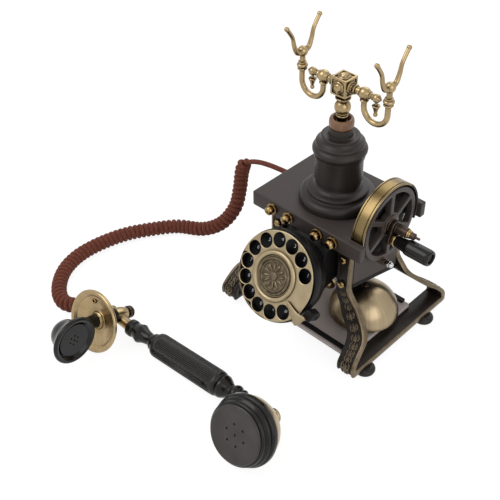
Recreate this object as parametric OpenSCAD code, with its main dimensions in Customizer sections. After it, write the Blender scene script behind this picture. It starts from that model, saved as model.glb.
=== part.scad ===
// Antique style corded telephone: a body on curved side frames with two gongs under it,
// a tilted dial, a crank with a brass arch, a sprung cradle on a turned column,
// and a handset that lies in front of the base on the end of its curly cord.
// Millimetres, +Z up, the surface it stands on is Z = 0.

/* [Placing] */
// Base centre, across
base_x = 27; // [0:0.1:60]
// Base centre, front to back
base_y = 94.3; // [60:0.1:120]
// Handset centre from the base's centre, across
handset_x = -34; // [-50:0.5:-15]
// Handset centre from the base's centre, front to back
handset_y = -171; // [-190:0.5:-165]
// Handset turn on the table, degrees
handset_turn = 3.5; // [0:0.1:8]
// Handset face tilt above level, degrees
handset_tilt = 24; // [20:1:28]

/* [Top plate] */
// Plate width
plate_w = 130; // [124:1:140]
// Plate depth
plate_d = 98; // [96:1:110]
// Plate thickness
plate_t = 16; // [14:1:20]
// Height of the plate's top above the table
plate_top = 135; // [130:0.5:142]
// Corner and edge rounding of the plate
plate_round = 1.5; // [1:0.5:3]

/* [Body] */
// Body width
body_w = 98.8; // [94:0.2:100]
// Body depth
body_d = 68; // [66:1:70]
// Wall of the body
body_wall = 3; // [2:0.5:4]
// Height of the body's lower edge at the front
body_low_front = 72; // [70:1:75]
// Height of the body's lower edge at the back
body_low_back = 54; // [52:1:58]
// Thickness of the bottom cover
cover_t = 2.5; // [2:0.5:4]

/* [Column] */
// Radius of the flange
flange_r = 36; // [34:0.5:38]
// Radius of the straight shaft
shaft_r = 22.4; // [20:0.2:24]
// Radius of the top moulding
mould_r = 24.7; // [24:0.1:27]
// Height of the column
column_h = 74; // [72:1:80]
// Radius of the wood collar
collar_r = 11.2; // [10:0.2:13]
// Height of the wood collar
collar_h = 13; // [11:1:15]
// How far the column is ahead of the plate's centre
column_fwd = 2.3; // [0:0.1:4]

/* [Cradle] */
// Radius of the post
post_r = 4; // [3:0.1:5]
// Running clearance of the post
post_gap = 0.08; // [0.02:0.01:0.10]
// Travel of the cradle
cradle_travel = 5; // [3:0.5:6]
// Side of the cube
cube_s = 16.5; // [15:0.5:19]
// Height of the cross bar above the plate
bar_h = 118.7; // [117:0.1:121]
// Half spread of the arm balls
arm_x = 22.4; // [21:0.1:24]
// Half spread of the end balls
end_x = 34.9; // [33:0.1:37]
// Half spread of the forks
fork_x = 47.1; // [46:0.1:50]
// Height of the fork balls above the plate
fork_h = 133.6; // [132:0.1:137]
// Radius of the hook tube
hook_r = 2.6; // [2:0.1:3]
// Radius of the fork horns
horn_r = 2.2; // [1.6:0.1:2.6]
// Reach of a horn's tip, front and back
horn_reach = 21; // [18:0.5:24]
// Rise of a horn's tip above its ball
horn_rise = 27.3; // [24:0.1:31]

/* [Dial] */
// Dial centre, across
dial_x = 6.2; // [0:0.1:8]
// Dial centre ahead of the plate's centre
dial_fwd = 94; // [90:1:98]
// Dial centre below the plate's top
dial_drop = 35.8; // [34:0.1:38]
// Lean of the dial from upright, degrees
dial_lean = 27.9; // [24:0.1:32]
// Radius of the finger wheel
wheel_r = 41.9; // [40.5:0.1:43]
// Thickness of the finger wheel
wheel_t = 1.8; // [1.4:0.1:2.4]
// Radius of the circle of finger holes
hole_circle_r = 33.4; // [33:0.1:34]
// Radius of a finger hole
hole_r = 6.9; // [6:0.1:7.2]
// Number of finger holes
hole_n = 12; // [10:1:12]
// Angle between neighbouring holes, degrees
hole_step = 25.74; // [25:0.01:26.5]
// Angle of the first hole above level, degrees
hole_first = 26.6; // [24:0.1:30]
// Radius of the raised centre
medallion_r = 24; // [22:0.5:25]
// Radius of the drum behind the dial
drum_r = 41; // [39:0.5:43]
// Depth of the drum
drum_t = 19; // [18:1:25]
// Radius of the drum's back
drum_back_r = 37; // [35:0.5:41]

/* [Crank] */
// Axle height below the plate's top
axle_drop = 1.5; // [0:0.1:4]
// Outer radius of the arch
arch_r = 41; // [40:0.1:42]
// Thickness of the arch band
arch_t = 2; // [1.5:0.1:3]
// Inner face of the arch, across
arch_x = 48; // [47:0.1:50]
// Width of the arch band
arch_w = 13.5; // [12:0.5:15]
// Radius of the spoked wheel
spoked_r = 37; // [35:0.1:37.5]
// Thickness of the spoked wheel
spoked_t = 7; // [5:0.5:8]
// Number of spokes
spoke_n = 6; // [5:1:7]
// Distance of the grip's axis from the axle
crank_throw = 11.5; // [11.5:0.1:13]
// Radius of the axle
axle_r = 3.2; // [2.8:0.1:3.3]
// Length of the grip
grip_len = 40; // [34:1:44]
// Radius of the grip
grip_r = 7.8; // [6.5:0.1:7.8]

/* [Side frames] */
// Thickness of the bent strip
strip_t = 6; // [5:0.1:6.5]
// Height of the strip's lower face above the table
strip_low = 6.7; // [6:0.1:9]
// Half depth of the frame at the table
frame_half_d = 75; // [73:0.5:78]
// Outermost edge of the frame, across
frame_out = 88; // [86:0.1:90]
// Inner edge of the frame at its foot, across
frame_in = 67.6; // [66:0.1:69]
// Radius of a foot
foot_r = 10.5; // [8:0.5:11]

/* [Base plate] */
// Half width of the base plate
base_half_w = 71; // [69:1:74]
// Front edge of the base plate ahead of the centre
base_front = 63; // [58:1:64]
// Back edge of the base plate behind the centre
base_back = 35; // [33:1:40]
// Thickness of the base plate
base_t = 5.4; // [5:0.1:7]

/* [Gongs] */
// Radius of a gong's rim
gong_r = 34.6; // [33:0.1:35]
// Height of a gong
gong_h = 29.5; // [26:0.5:31]
// Wall of a gong
gong_wall = 1.6; // [1.4:0.1:2.2]
// Distance of a gong's centre from the middle
gong_x = 43.5; // [43:0.1:44.5]

/* [Handset] */
// Radius of the ribbed grip
hgrip_r = 12; // [10.5:0.1:12.2]
// Half length of the ribbed grip
hgrip_half = 42.5; // [40:0.5:44]
// Distance from the grip's middle to the mouthpiece barrel
barrel_x = 98.5; // [95:0.5:102]
// Distance from the grip's middle to the receiver's axis
receiver_x = 101.5; // [98:0.5:105]
// Radius of the mouthpiece dish
dish_r = 31.4; // [29:0.1:31.6]
// Radius of the receiver's largest ring
ring_r = 32.6; // [31.8:0.1:33]
// Height of the receiver's face above the grip's axis
face_h = 53; // [52:0.5:55]
// Radius of the mouthpiece horn's rim
mouth_r = 24; // [22:0.5:25]

/* [Cord] */
// Diameter of the cord
cord_d = 5; // [4:0.5:5]
// Outer diameter of the cord's curls
curl_d = 16.5; // [15:0.5:17]

/* [Hidden] */
$fn = 64;

apart = 0.3;                       // space between neighbours of different bodies
fit_gap = 0.05;                    // running clearance of small shafts
plate_low = plate_top - plate_t;
body_front = -body_d / 2;
strip_top = strip_low + strip_t;
base_top = strip_top + base_t;
axle_z = plate_top - axle_drop;
post_top = plate_top + bar_h - cube_s / 2;
column_top = plate_top + column_h;

// ---- general shapes

// A cylinder from point a to point b
module rod(a, b, r) {
    d = b - a;
    l = norm(d);
    translate(a) rotate([0, acos(d[2] / l), atan2(d[1], d[0])]) cylinder(h = l, r = r);
}

module at_base() translate([base_x, base_y, 0]) children();

ring_low = 38.4;                   // middle of the receiver's largest ring above the grip's axis
// The receiver's ring and the mouthpiece dish both rest on the table, which leans the grip slightly.
// Handset frame: X along the grip, Z the way the receiver faces, Y upwards
barrel_up = 4.5;
dish_z = 22;
ring_dip = ring_r * cos(handset_tilt) - (ring_low - 2.8) * sin(handset_tilt);
dish_dip = (dish_r - barrel_up) * cos(handset_tilt) - (dish_z + 10.4) * sin(handset_tilt);
handset_lean = asin((ring_dip - dish_dip) / (barrel_x + receiver_x));
handset_z = ring_dip - receiver_x * sin(handset_lean) + 0.1;
module at_handset() at_base() translate([handset_x, handset_y, handset_z]) rotate([0, 0, handset_turn])
    rotate([0, -handset_lean, 0]) rotate([90 - handset_tilt, 0, 0]) children();

// Dial frame: Z out of the dial, Y up its face
module at_dial() at_base() translate([dial_x, -dial_fwd, plate_top - dial_drop])
    rotate([90 - dial_lean, 0, 0]) children();

// Crank frame: Z along the axle, outwards from the middle of the base
module at_crank(x) at_base() translate([x, 0, axle_z]) rotate([0, 90, 0]) children();

module at_column(z) at_base() translate([0, -column_fwd, z]) children();

// Points on a smooth curve through the given points (the middle stretches of a spline)
function spline_at(a, b, c, d, t) = 0.5 * (2 * b + (c - a) * t + (2 * a - 5 * b + 4 * c - d) * t * t
    + (3 * b - a - 3 * c + d) * t * t * t);
function smooth(p, n) = [for (i = [0 : len(p) - 2]) for (k = [0 : n - 1])
    spline_at(p[max(i - 1, 0)], p[i], p[i + 1], p[min(i + 2, len(p) - 1)], k / n), p[len(p) - 1]];

// A tube swept along the points of a path, with s sides, as one closed solid
function unit(v) = v / norm(v);
function path_dir(p, i) = unit(p[min(i + 1, len(p) - 1)] - p[max(i - 1, 0)]);
function turn_side(v, d) = unit(v - d * (v * d));
function sides(p, v) = [for (i = 0, s = turn_side(v, path_dir(p, 0)); i < len(p); i = i + 1,
    s = i < len(p) ? turn_side(s, path_dir(p, i)) : s) s];
module sweep(p, r, s, v = [0, 0, 1]) {
    side = sides(p, v);
    n = len(p);
    pts = [for (i = [0 : n - 1]) for (k = [0 : s - 1]) p[i]
        + r * (cos(360 * k / s) * side[i] + sin(360 * k / s) * cross(path_dir(p, i), side[i]))];
    faces = concat([[for (k = [0 : s - 1]) s - 1 - k]], [[for (k = [0 : s - 1]) (n - 1) * s + k]],
        [for (i = [0 : n - 2]) for (k = [0 : s - 1])
            let (a = i * s + k, b = i * s + (k + 1) % s) each [[a, b, b + s], [a, b + s, a + s]]]);
    polyhedron(pts, [for (f = faces) [for (j = [len(f) - 1 : -1 : 0]) f[j]]]);
}

// ---- base: plate, column, body

notch_in = arch_x;
notch_half = arch_r + 0.8;
module top_plate() color([0.24, 0.22, 0.21]) at_base() difference() {
    translate([-plate_w / 2, -plate_d / 2, plate_low]) cube([plate_w, plate_d, plate_t]);
    // notch for the arch and the spoked wheel
    translate([notch_in, -notch_half, plate_low - 1])
        cube([plate_w, 2 * notch_half, plate_t + 2]);
    // way through for the cradle's post
    translate([0, -column_fwd, plate_low - 1]) cylinder(h = plate_t + 2, r = post_bore_r);
}

post_bore_r = post_r + 4.5;        // hollow around the post and its spring
flange_h = 6;
module column() color([0.2, 0.19, 0.18]) at_column(plate_top) rotate_extrude() polygon([
    [post_bore_r, 0], [flange_r, 0], [flange_r, flange_h], [flange_r - 2.5, flange_h + 2.5],
    [flange_r - 5.5, flange_h + 4], [shaft_r + 6.5, flange_h + 6], [shaft_r + 5.5, flange_h + 9],
    [shaft_r + 3.5, flange_h + 10.5], [shaft_r + 3.2, flange_h + 13], [shaft_r + 1, flange_h + 14],
    [shaft_r, flange_h + 17], [shaft_r - 0.5, column_h - 26], [mould_r - 1.5, column_h - 24.5],
    [mould_r, column_h - 21.5], [mould_r, column_h - 18.5], [mould_r - 1.6, column_h - 16.5],
    [mould_r - 2.4, column_h - 14], [mould_r - 3.4, column_h - 10.5], [mould_r - 6, column_h - 6.5],
    [mould_r - 9.5, column_h - 3.2], [collar_r + 0.4, column_h - 1.5], [collar_r + 0.4, column_h],
    [post_bore_r, column_h]]);

cup_r = post_r + 3.4;              // counterbore that the post's beads sink into
cup_depth = cradle_travel + 2;
module wood_collar() color([0.36, 0.2, 0.12]) at_column(column_top) rotate_extrude() polygon([
    [post_r + post_gap, 0], [collar_r - 2, 0], [collar_r - 0.4, 1.5], [collar_r, 3.5],
    [collar_r, collar_h - 3], [collar_r - 0.6, collar_h - 1], [collar_r - 2, collar_h],
    [cup_r, collar_h], [cup_r, collar_h - cup_depth], [post_r + post_gap, collar_h - cup_depth]]);

// Height of the body's sloping lower edge at depth y
body_slope = (body_low_back - body_low_front) / body_d;
function low_at(y) = body_low_front + body_slope * (y + body_d / 2);
module body_outline(inset, top, lift)
    rotate([90, 0, 90]) linear_extrude(body_w - 2 * inset) polygon([
        [body_front + inset, low_at(body_front + inset) + lift], [body_front + inset, top],
        [-body_front - inset, top], [-body_front - inset, low_at(-body_front - inset) + lift]]);
jack_w = 14;
jack_h = 12;
jack_z = body_low_back + 12;
gland_z = plate_low - 10;        // the handset cord's outlet in the left wall
gland_y = 24;
module body_case() color([0.27, 0.25, 0.25]) at_base() difference() {
    translate([-body_w / 2, 0, 0]) body_outline(0, plate_low, 0);
    translate([-body_w / 2 + body_wall, 0, 0]) body_outline(body_wall, plate_low + 1, -20);
    // line socket in the back wall
    translate([-jack_w / 2, body_d / 2 - body_wall - 1, jack_z]) cube([jack_w, body_wall + 2, jack_h]);
    // handset cord's outlet
    translate([-body_w / 2 - 1, gland_y, gland_z]) rotate([0, 90, 0])
        cylinder(h = body_wall + 2, r = gland_r);
    // drag rod
    translate([body_w / 2 - body_wall - 1, drag_y, drag_z]) rotate([0, 90, 0])
        cylinder(h = body_wall + 2, r = drag_r);
    // dial shaft and its wires
    translate([dial_x, body_front - 1, dial_hole_z]) rotate([-90, 0, 0]) cylinder(h = body_wall + 2, r = 9);
}
dial_hole_z = plate_top - dial_drop - 8;

module bottom_cover() color([0.06, 0.06, 0.06]) at_base() difference() {
    translate([-body_w / 2 + body_wall, 0, 0]) difference() {
        body_outline(body_wall, plate_low - 10, 0);
        body_outline(body_wall, plate_low, cover_t);
        translate([0, 0, cover_t]) body_outline(body_wall, plate_low, 0);
    }
    // hammer's slot
    translate([-6, hammer_y - 5, low_at(hammer_y) - 10]) cube([12, 10, 20]);
}

// ---- side frames: one strip bent round the underside, front leg, foot bar and back leg

// Half depth of the strip's outer face against height, from the plate down
leg_y = body_d / 2 + strip_t;
function frame_side() = smooth([[leg_y, plate_low], [leg_y, plate_low - 30], [leg_y, plate_low - 42],
    [leg_y + 0.6, plate_low - 57], [leg_y + 2, plate_low - 68], [leg_y + 11.8, plate_low - 79],
    [leg_y + 23.4, plate_low - 88.5], [frame_half_d - 3.4, plate_low - 97],
    [frame_half_d, plate_low - 103], [frame_half_d - 0.4, strip_low + 1.5],
    [frame_half_d - 3, strip_low]], 4);
// Outer and inner edges of the strip seen from the front, from the plate down
leg_out = body_w / 2;
leg_in = 34;
function frame_outer() = smooth([[leg_out, plate_low], [leg_out, plate_low - 40],
    [leg_out + 0.6, plate_low - 51], [leg_out + 7.6, plate_low - 60.4], [leg_out + 15.2, plate_low - 68.6],
    [leg_out + 23.8, plate_low - 74], [frame_out - 8.2, plate_low - 79], [frame_out - 4.2, plate_low - 84],
    [frame_out - 2.6, plate_low - 91], [frame_out - 1.4, plate_low - 99], [frame_out, strip_low - 1]], 4);
function frame_inner() = smooth([[leg_in, plate_low], [leg_in, plate_low - 48],
    [leg_in + 1, plate_low - 56], [leg_in + 4, plate_low - 63], [leg_in + 11.5, plate_low - 72],
    [leg_in + 20.6, plate_low - 77.5], [frame_in - 5, plate_low - 82.5],
    [frame_in - 1.4, plate_low - 88], [frame_in - 0.4, plate_low - 94], [frame_in, plate_low - 101],
    [frame_in, strip_low - 1]], 4);
function reversed(p) = [for (i = [len(p) - 1 : -1 : 0]) p[i]];
function mirrored(p) = [for (q = p) [-q[0], q[1]]];
function inward(p, t) = [for (q = p) [q[0] - t, max(q[1], strip_low + t)]];
module side_frame() intersection() {
    translate([0, frame_half_d + 5, 0]) rotate([90, 0, 0]) linear_extrude(2 * frame_half_d + 10)
        polygon(concat(frame_outer(), reversed(frame_inner())));
    rotate([90, 0, 90]) linear_extrude(frame_out + 5) difference() {
        polygon(concat(frame_side(), reversed(mirrored(frame_side()))));
        polygon(concat([[leg_y - strip_t, plate_low + 5]], inward(frame_side(), strip_t),
            reversed(mirrored(inward(frame_side(), strip_t))), [[-leg_y + strip_t, plate_low + 5]]));
    }
}
module right_side_frame() color([0.3, 0.26, 0.2]) at_base() side_frame();
module left_side_frame() color([0.3, 0.26, 0.2]) at_base() mirror([1, 0, 0]) side_frame();

// ---- base plate, trim and feet

groove_w = 5;
groove_d = 1;
lip = 2.5;
module base_plate() color([0.42, 0.41, 0.41]) at_base() difference() {
    translate([-base_half_w, -base_front, strip_top])
        cube([2 * base_half_w, base_front + base_back, base_t]);
    translate([-base_half_w - 1, -base_front + lip, base_top - groove_d])
        cube([2 * base_half_w + 2, groove_w, groove_d + 1]);
    translate([-base_half_w - 1, base_back - groove_w, base_top - groove_d])
        cube([2 * base_half_w + 2, groove_w + 1, groove_d + 1]);
    for (s = [-1, 1]) translate([s * gong_x, gong_y, 0]) cylinder(h = plate_low, r = stud_r);
}
module base_trim() color([0.03, 0.03, 0.03]) at_base() {
    translate([-base_half_w + 6, -base_front + lip, base_top - groove_d])
        cube([2 * base_half_w - 12, groove_w, groove_d + 0.6]);
    translate([-base_half_w + 6, base_back - groove_w, base_top - groove_d])
        cube([2 * base_half_w - 12, groove_w, groove_d + 2]);
}

foot_x = 84.5;
foot_front = -53;
foot_back = 42;
module feet() color([0.04, 0.035, 0.035]) at_base() for (s = [-1, 1]) for (y = [foot_front, foot_back])
    translate([s * foot_x, y, 0]) rotate_extrude() polygon([[0, 0], [foot_r - 2, 0], [foot_r - 0.6, 1],
        [foot_r, 2.8], [foot_r - 0.6, 4.8], [foot_r - 2.6, strip_low - 0.6], [foot_r - 4, strip_low],
        [0, strip_low]]);

// ---- gongs and ringer

gong_y = -5;
gong_gap = 3;
stud_r = 2.5;
gong_z = base_top + gong_gap;
function dome(r, h, n = 14) = [for (i = [0 : n]) [r * cos(90 * i / n), h * sin(90 * i / n)]];
module gong() difference() {
    rotate_extrude() polygon(concat([[0, 0]], dome(gong_r, gong_h)));
    translate([0, 0, -0.01]) rotate_extrude()
        polygon(concat([[0, 0]], dome(gong_r - gong_wall, gong_h - gong_wall)));
    translate([0, 0, -1]) cylinder(h = gong_h + 5, r = stud_r);
}
module left_gong() color([0.62, 0.52, 0.36]) at_base() translate([-gong_x, gong_y, gong_z]) gong();
module right_gong() color([0.62, 0.52, 0.36]) at_base() translate([gong_x, gong_y, gong_z]) gong();
// Stud from the base plate through the gong, with a shoulder under it and a nut above
shoulder_r = 4.5;
module gong_posts() color([0.5, 0.42, 0.3]) at_base() for (s = [-1, 1])
    translate([s * gong_x, gong_y, 0]) {
        translate([0, 0, strip_top]) cylinder(h = gong_z + gong_h + 4.6 - strip_top, r = stud_r);
        translate([0, 0, base_top]) cylinder(h = gong_gap + gong_h - gong_wall - 0.7, r = shoulder_r);
        translate([0, 0, gong_z + gong_h - 0.05]) cylinder(h = 3.4, r = 3.8, $fn = 6);
    }

hammer_y = -5;
hammer_x_gap = 4.5;
coil_r = 7;
pivot_z = 76;
coil_low = low_at(hammer_y) + cover_t + 2.4;
coil_h = 13;
yoke_y = hammer_y + 10;
yoke_low = low_at(yoke_y + 3) + cover_t;
// Frame, the two windings and the hammer's hinge pin, inside the body above the slot
module ringer_coils() color([0.45, 0.2, 0.12]) at_base() {
    for (s = [-1, 1]) translate([s * 15, hammer_y, coil_low]) cylinder(h = coil_h, r = coil_r);
    translate([-24, yoke_y, yoke_low]) cube([48, 3, coil_low + coil_h + 3 - yoke_low]);
    translate([-24, hammer_y - 8, coil_low + coil_h - 0.01]) cube([48, 18.5, 3]);
    translate([0, yoke_y + 0.5, pivot_z]) rotate([90, 0, 0]) cylinder(h = 17, r = 1.5);
}
module bell_hammer() color([0.55, 0.46, 0.33]) at_base() {
    difference() {
        translate([0, hammer_y + 2.5, pivot_z]) rotate([90, 0, 0]) cylinder(h = 5, r = 4);
        translate([0, hammer_y + 20, pivot_z]) rotate([90, 0, 0]) cylinder(h = 40, r = 1.5 + fit_gap);
    }
    rod([0, hammer_y, pivot_z - 3], [0, hammer_y, gong_z + 8], 1.2);
    translate([0, hammer_y, gong_z + 6]) sphere(r = gong_x - gong_r + 1.2 - hammer_x_gap);
}

// ---- small fasteners on the base

terminal_x = [-38.4, -18.2, 17.2, 34.8];
terminal_z = plate_top - 7;
module terminal_screws() color([0.6, 0.48, 0.28]) at_base() for (x = terminal_x)
    translate([x, -plate_d / 2, terminal_z]) rotate([90, 0, 0]) difference() {
        union() {
            cylinder(h = 3, r = 5.6);
            cylinder(h = 9, r = 2.8);
            translate([0, 0, 5.4]) cylinder(h = 3.6, r = 4.3);
        }
        translate([-5, -0.6, 8]) cube([10, 1.2, 3]);
    }
frame_screw_x = 40.3;
frame_screw_z = [plate_top - 31, plate_top - 61];
module frame_screws() color([0.6, 0.48, 0.28]) at_base() for (s = [-1, 1]) for (f = [-1, 1])
    for (z = frame_screw_z) translate([s * frame_screw_x, f * leg_y, z])
        rotate([90 * -f, 0, 0]) intersection() {
            translate([0, 0, -1.8]) sphere(r = 4);
            cylinder(h = 5, r = 5);
        }

// ---- dial

drum_z = -6.5;                     // front of the number plate below the wheel's back
module dial_housing() color([0.05, 0.05, 0.05]) {
    at_dial() difference() {
        union() {
            translate([0, 0, drum_back]) cylinder(h = drum_t, r1 = drum_back_r, r2 = drum_r);
            translate([0, 0, drum_z - 4]) cylinder(h = 5, r = wheel_r + 1.5);
        }
        translate([0, 0, drum_z - 2]) cylinder(h = 10, r = wheel_r - 0.9);
        translate([0, 0, drum_back + 3]) cylinder(h = drum_t, r1 = drum_back_r - 2.5, r2 = drum_r - 3);
        translate([0, 0, -60]) cylinder(h = 60, r = 5);
        translate([0, 0, drum_z - 6]) cylinder(h = 3, r = drum_r - 3);
    }
}
// Bracket between the drum and the body's front
module dial_bracket() color([0.05, 0.05, 0.05]) at_base() difference() {
    translate([dial_x - 24, 0, 0]) rotate([90, 0, 90]) linear_extrude(48) polygon([
        [body_front, plate_low], [body_front, body_low_front + 4],
        [drum_back_y(-28), drum_back_z(-28)], [drum_back_y(24), drum_back_z(24)],
        [-plate_d / 2 + 2, plate_low]]);
    translate([dial_x - 20, 0, 0]) rotate([90, 0, 90]) linear_extrude(40) polygon([
        [body_front + 1, plate_low - 3], [body_front + 1, body_low_front + 8],
        [drum_back_y(-26) - 3, drum_back_z(-26) + 1], [drum_back_y(22) - 3, drum_back_z(22) - 3],
        [-plate_d / 2 + 2, plate_low - 3]]);
}
// Where a point on the drum's back, up its face by u, lies in the base's frame
drum_back = drum_z - 2 - drum_t;
function drum_back_y(u) = -dial_fwd - drum_back * cos(dial_lean) + u * sin(dial_lean);
function drum_back_z(u) = plate_top - dial_drop + drum_back * sin(dial_lean) + u * cos(dial_lean);

module number_plate() color([0.02, 0.02, 0.02]) at_dial() translate([0, 0, drum_z - 2]) difference() {
    cylinder(h = 2, r = wheel_r - 1.4);
    translate([0, 0, -1]) cylinder(h = 4, r = dial_shaft_r + 1);
}
dial_shaft_r = 4;
module finger_wheel() color([0.66, 0.57, 0.42]) at_dial() difference() {
    cylinder(h = wheel_t, r = wheel_r);
    for (i = [0 : hole_n - 1]) rotate([0, 0, hole_first + i * hole_step])
        translate([hole_circle_r, 0, -1]) cylinder(h = wheel_t + 2, r = hole_r);
    translate([0, 0, -1]) cylinder(h = wheel_t + 2, r = dial_shaft_r);
}
module dial_medallion() color([0.6, 0.52, 0.38]) at_dial() translate([0, 0, wheel_t]) rotate_extrude()
    polygon([[0, 0], [medallion_r, 0], [medallion_r, 0.8], [medallion_r - 1.5, 1.6], [medallion_r - 4, 1.6],
        [medallion_r - 5.5, 0.9], [medallion_r - 6, 1.8], [0, 1.8]]);
module dial_shaft() color([0.55, 0.5, 0.42]) at_dial() translate([0, 0, drum_z - 16])
    cylinder(h = -drum_z + 16 + wheel_t, r = dial_shaft_r);
// Hook over the rim of the wheel, and the lug that carries it
stop_a = -33;
module finger_stop() color([0.66, 0.57, 0.42]) at_dial() rotate([0, 0, stop_a]) {
    translate([wheel_r + 1.3, -4, drum_z - 4]) cube([8, 8, -drum_z + 4 + wheel_t + 3.6]);
    translate([hole_circle_r - 4, -2.4, wheel_t + 2.2]) cube([wheel_r - hole_circle_r + 6, 4.8, 1.4]);
    translate([hole_circle_r - 4, 0, wheel_t + 2.2]) cylinder(h = 1.4, r = 2.4);
}

// ---- crank

module crank_arch() color([0.66, 0.56, 0.4]) at_crank(arch_x) intersection() {
    difference() {
        rotate_extrude() polygon([[arch_r - arch_t, 0], [arch_r, 0], [arch_r, arch_w * 0.75],
            [arch_r - 0.8, arch_w], [arch_r - arch_t, arch_w]]);
    }
    translate([-arch_r - 1, -arch_r - 1, -1]) cube([arch_r + 1 + plate_t - 2, 2 * arch_r + 2, arch_w + 2]);
}
spoked_x = arch_x + arch_w - spoked_t;
window_in = 12;
window_out = spoked_r - 5;
module spoked_wheel() color([0.33, 0.31, 0.3]) at_crank(spoked_x) difference() {
    cylinder(h = spoked_t, r = spoked_r);
    for (i = [0 : spoke_n - 1]) rotate([0, 0, (i + 0.5) * 360 / spoke_n])
        translate([0, 0, -1]) linear_extrude(spoked_t + 2) intersection() {
            difference() {
                circle(r = window_out);
                circle(r = window_in);
            }
            polygon([[4, 0], [60, -60 * tan(180 / spoke_n) + 2.4], [60, 60 * tan(180 / spoke_n) - 2.4]]);
        }
    translate([0, 0, -1]) cylinder(h = spoked_t + 2, r = axle_r);
}
// Dark plate behind the wheel's windows, carried by the bearing boss
module wheel_back() color([0.03, 0.03, 0.03]) at_crank(arch_x + 2) difference() {
    cylinder(h = 2, r = spoked_r - 1);
    translate([0, 0, -1]) cylinder(h = 4, r = bush_r);
}
axle_out = 88;
axle_in = arch_x + 0.4;
module crank_axle() color([0.42, 0.34, 0.28]) at_crank(0) {
    translate([0, 0, axle_in]) cylinder(h = axle_out - axle_in, r = axle_r);
    translate([0, 0, arm_x0 + arm_t]) cylinder(h = 12.5, r = 4.8);
    translate([0, 0, arm_x0 + arm_t + 12.5]) cylinder(h = 3.7, r1 = 4.2, r2 = 3.7);
    translate([0, 0, axle_out]) cylinder(h = 5, r = 1.2);
}
// Direction from the axle to the grip, in the crank frame (X down, Y back)
crank_a = -20;
arm_x0 = spoked_x + spoked_t + 2;
arm_t = 4;
arm_r = 6.4;
pin_r = 2;
module crank_arm() color([0.2, 0.17, 0.16]) at_crank(arm_x0) rotate([0, 0, crank_a]) {
    difference() {
        union() {
            cylinder(h = arm_t, r = arm_r);
            translate([crank_throw, 0, 0]) cylinder(h = arm_t, r = arm_r);
            translate([0, -arm_r, 0]) cube([crank_throw, 2 * arm_r, arm_t]);
            translate([0, 0, -2]) cylinder(h = 2, r = 6);
        }
        translate([0, 0, -3]) cylinder(h = arm_t + 6, r = axle_r);
    }
    translate([crank_throw, 0, arm_t]) cylinder(h = grip_len + 1, r = pin_r);
    translate([crank_throw, 0, arm_t + grip_len + 0.8]) cylinder(h = 1.2, r = 3.4);
}
module crank_grip() color([0.05, 0.05, 0.05]) at_crank(arm_x0 + arm_t + apart) rotate([0, 0, crank_a])
    translate([crank_throw, 0, 0]) rotate_extrude() polygon([[pin_r + fit_gap, 0], [6, 0], [6, 3.6],
        [5.3, 4.4], [5.6, 8.5], [6.2, 12], [6.4, 14], [grip_r - 0.5, 16.5],
        [grip_r, 18.5], [grip_r, grip_len - 1.5],
        [grip_r - 1, grip_len + 1.5], [4.4, grip_len + 1.5], [4.4, grip_len], [pin_r + fit_gap, grip_len]]);
// Bearing boss on the notch's face; its upper edge stands above the plate
bush_r = 6.5;
module axle_bush() color([0.5, 0.42, 0.3]) at_crank(notch_in) difference() {
    cylinder(h = spoked_x - notch_in - 0.5, r = bush_r);
    translate([0, 0, -1]) cylinder(h = 20, r = axle_r + fit_gap);
}

// ---- rod, spring and dome nut beside the crank

drag_y = -5.2;
drag_z = plate_top - 42;
drag_r = 1.6;
drag_end = 70;
module drag_rod() color([0.75, 0.75, 0.76]) at_base() {
    translate([body_w / 2 - body_wall, drag_y, drag_z]) rotate([0, 90, 0])
        cylinder(h = drag_end - body_w / 2 + body_wall, r = drag_r);
    translate([body_w / 2, drag_y, drag_z]) rotate([0, 90, 0]) cylinder(h = 1.5, r = 4);
    translate([drag_end - 5, drag_y, drag_z]) rotate([0, 90, 0]) cylinder(h = 4, r = 3.2, $fn = 6);
    translate([drag_end - 1, drag_y, drag_z]) sphere(r = 2.8);
}
module drag_spring() color([0.5, 0.42, 0.36]) at_base() translate([body_w / 2 + 1.5, drag_y, drag_z])
    rotate([0, 90, 0]) difference() {
        cylinder(h = drag_end - 5 - body_w / 2 - 1.5, r = 3);
        translate([0, 0, -1]) cylinder(h = 40, r = drag_r);
    }

// ---- cradle

ball_h = 97.1;
module cradle_post() color([0.62, 0.52, 0.34]) at_column(plate_top) {
    translate([0, 0, post_low]) cylinder(h = bar_h - cube_s / 2 - post_low, r = post_r);
    translate([0, 0, column_h + collar_h + 0.9]) cylinder(h = 2, r = post_r + 1.5);
    translate([0, 0, column_h + collar_h + 3.4]) cylinder(h = 1.6, r = post_r + 1.1);
    translate([0, 0, ball_h]) sphere(r = 7.4);
    translate([0, 0, ball_h + 8.2]) cylinder(h = 2, r = 7);
    translate([0, 0, post_low]) cylinder(h = 2, r = post_r + 3.4);
}
post_low = -30;
module cradle_cube() color([0.55, 0.46, 0.32]) at_column(plate_top + bar_h) difference() {
    union() {
        translate([-cube_s / 2, -cube_s / 2, -cube_s / 2]) cube(cube_s);
        for (a = [0, 90]) rotate([a, 0, 0]) translate([0, 0, -cube_s / 2 - (a ? 1.8 : 0)])
            cylinder(h = cube_s + (a ? 3.6 : 1.8), r = 5.6);
        rotate([0, 90, 0]) translate([0, 0, -cube_s / 2 - 1.8]) cylinder(h = cube_s + 3.6, r = 5.6);
    }
}
bar_in = cube_s / 2 + 1.8;
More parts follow.
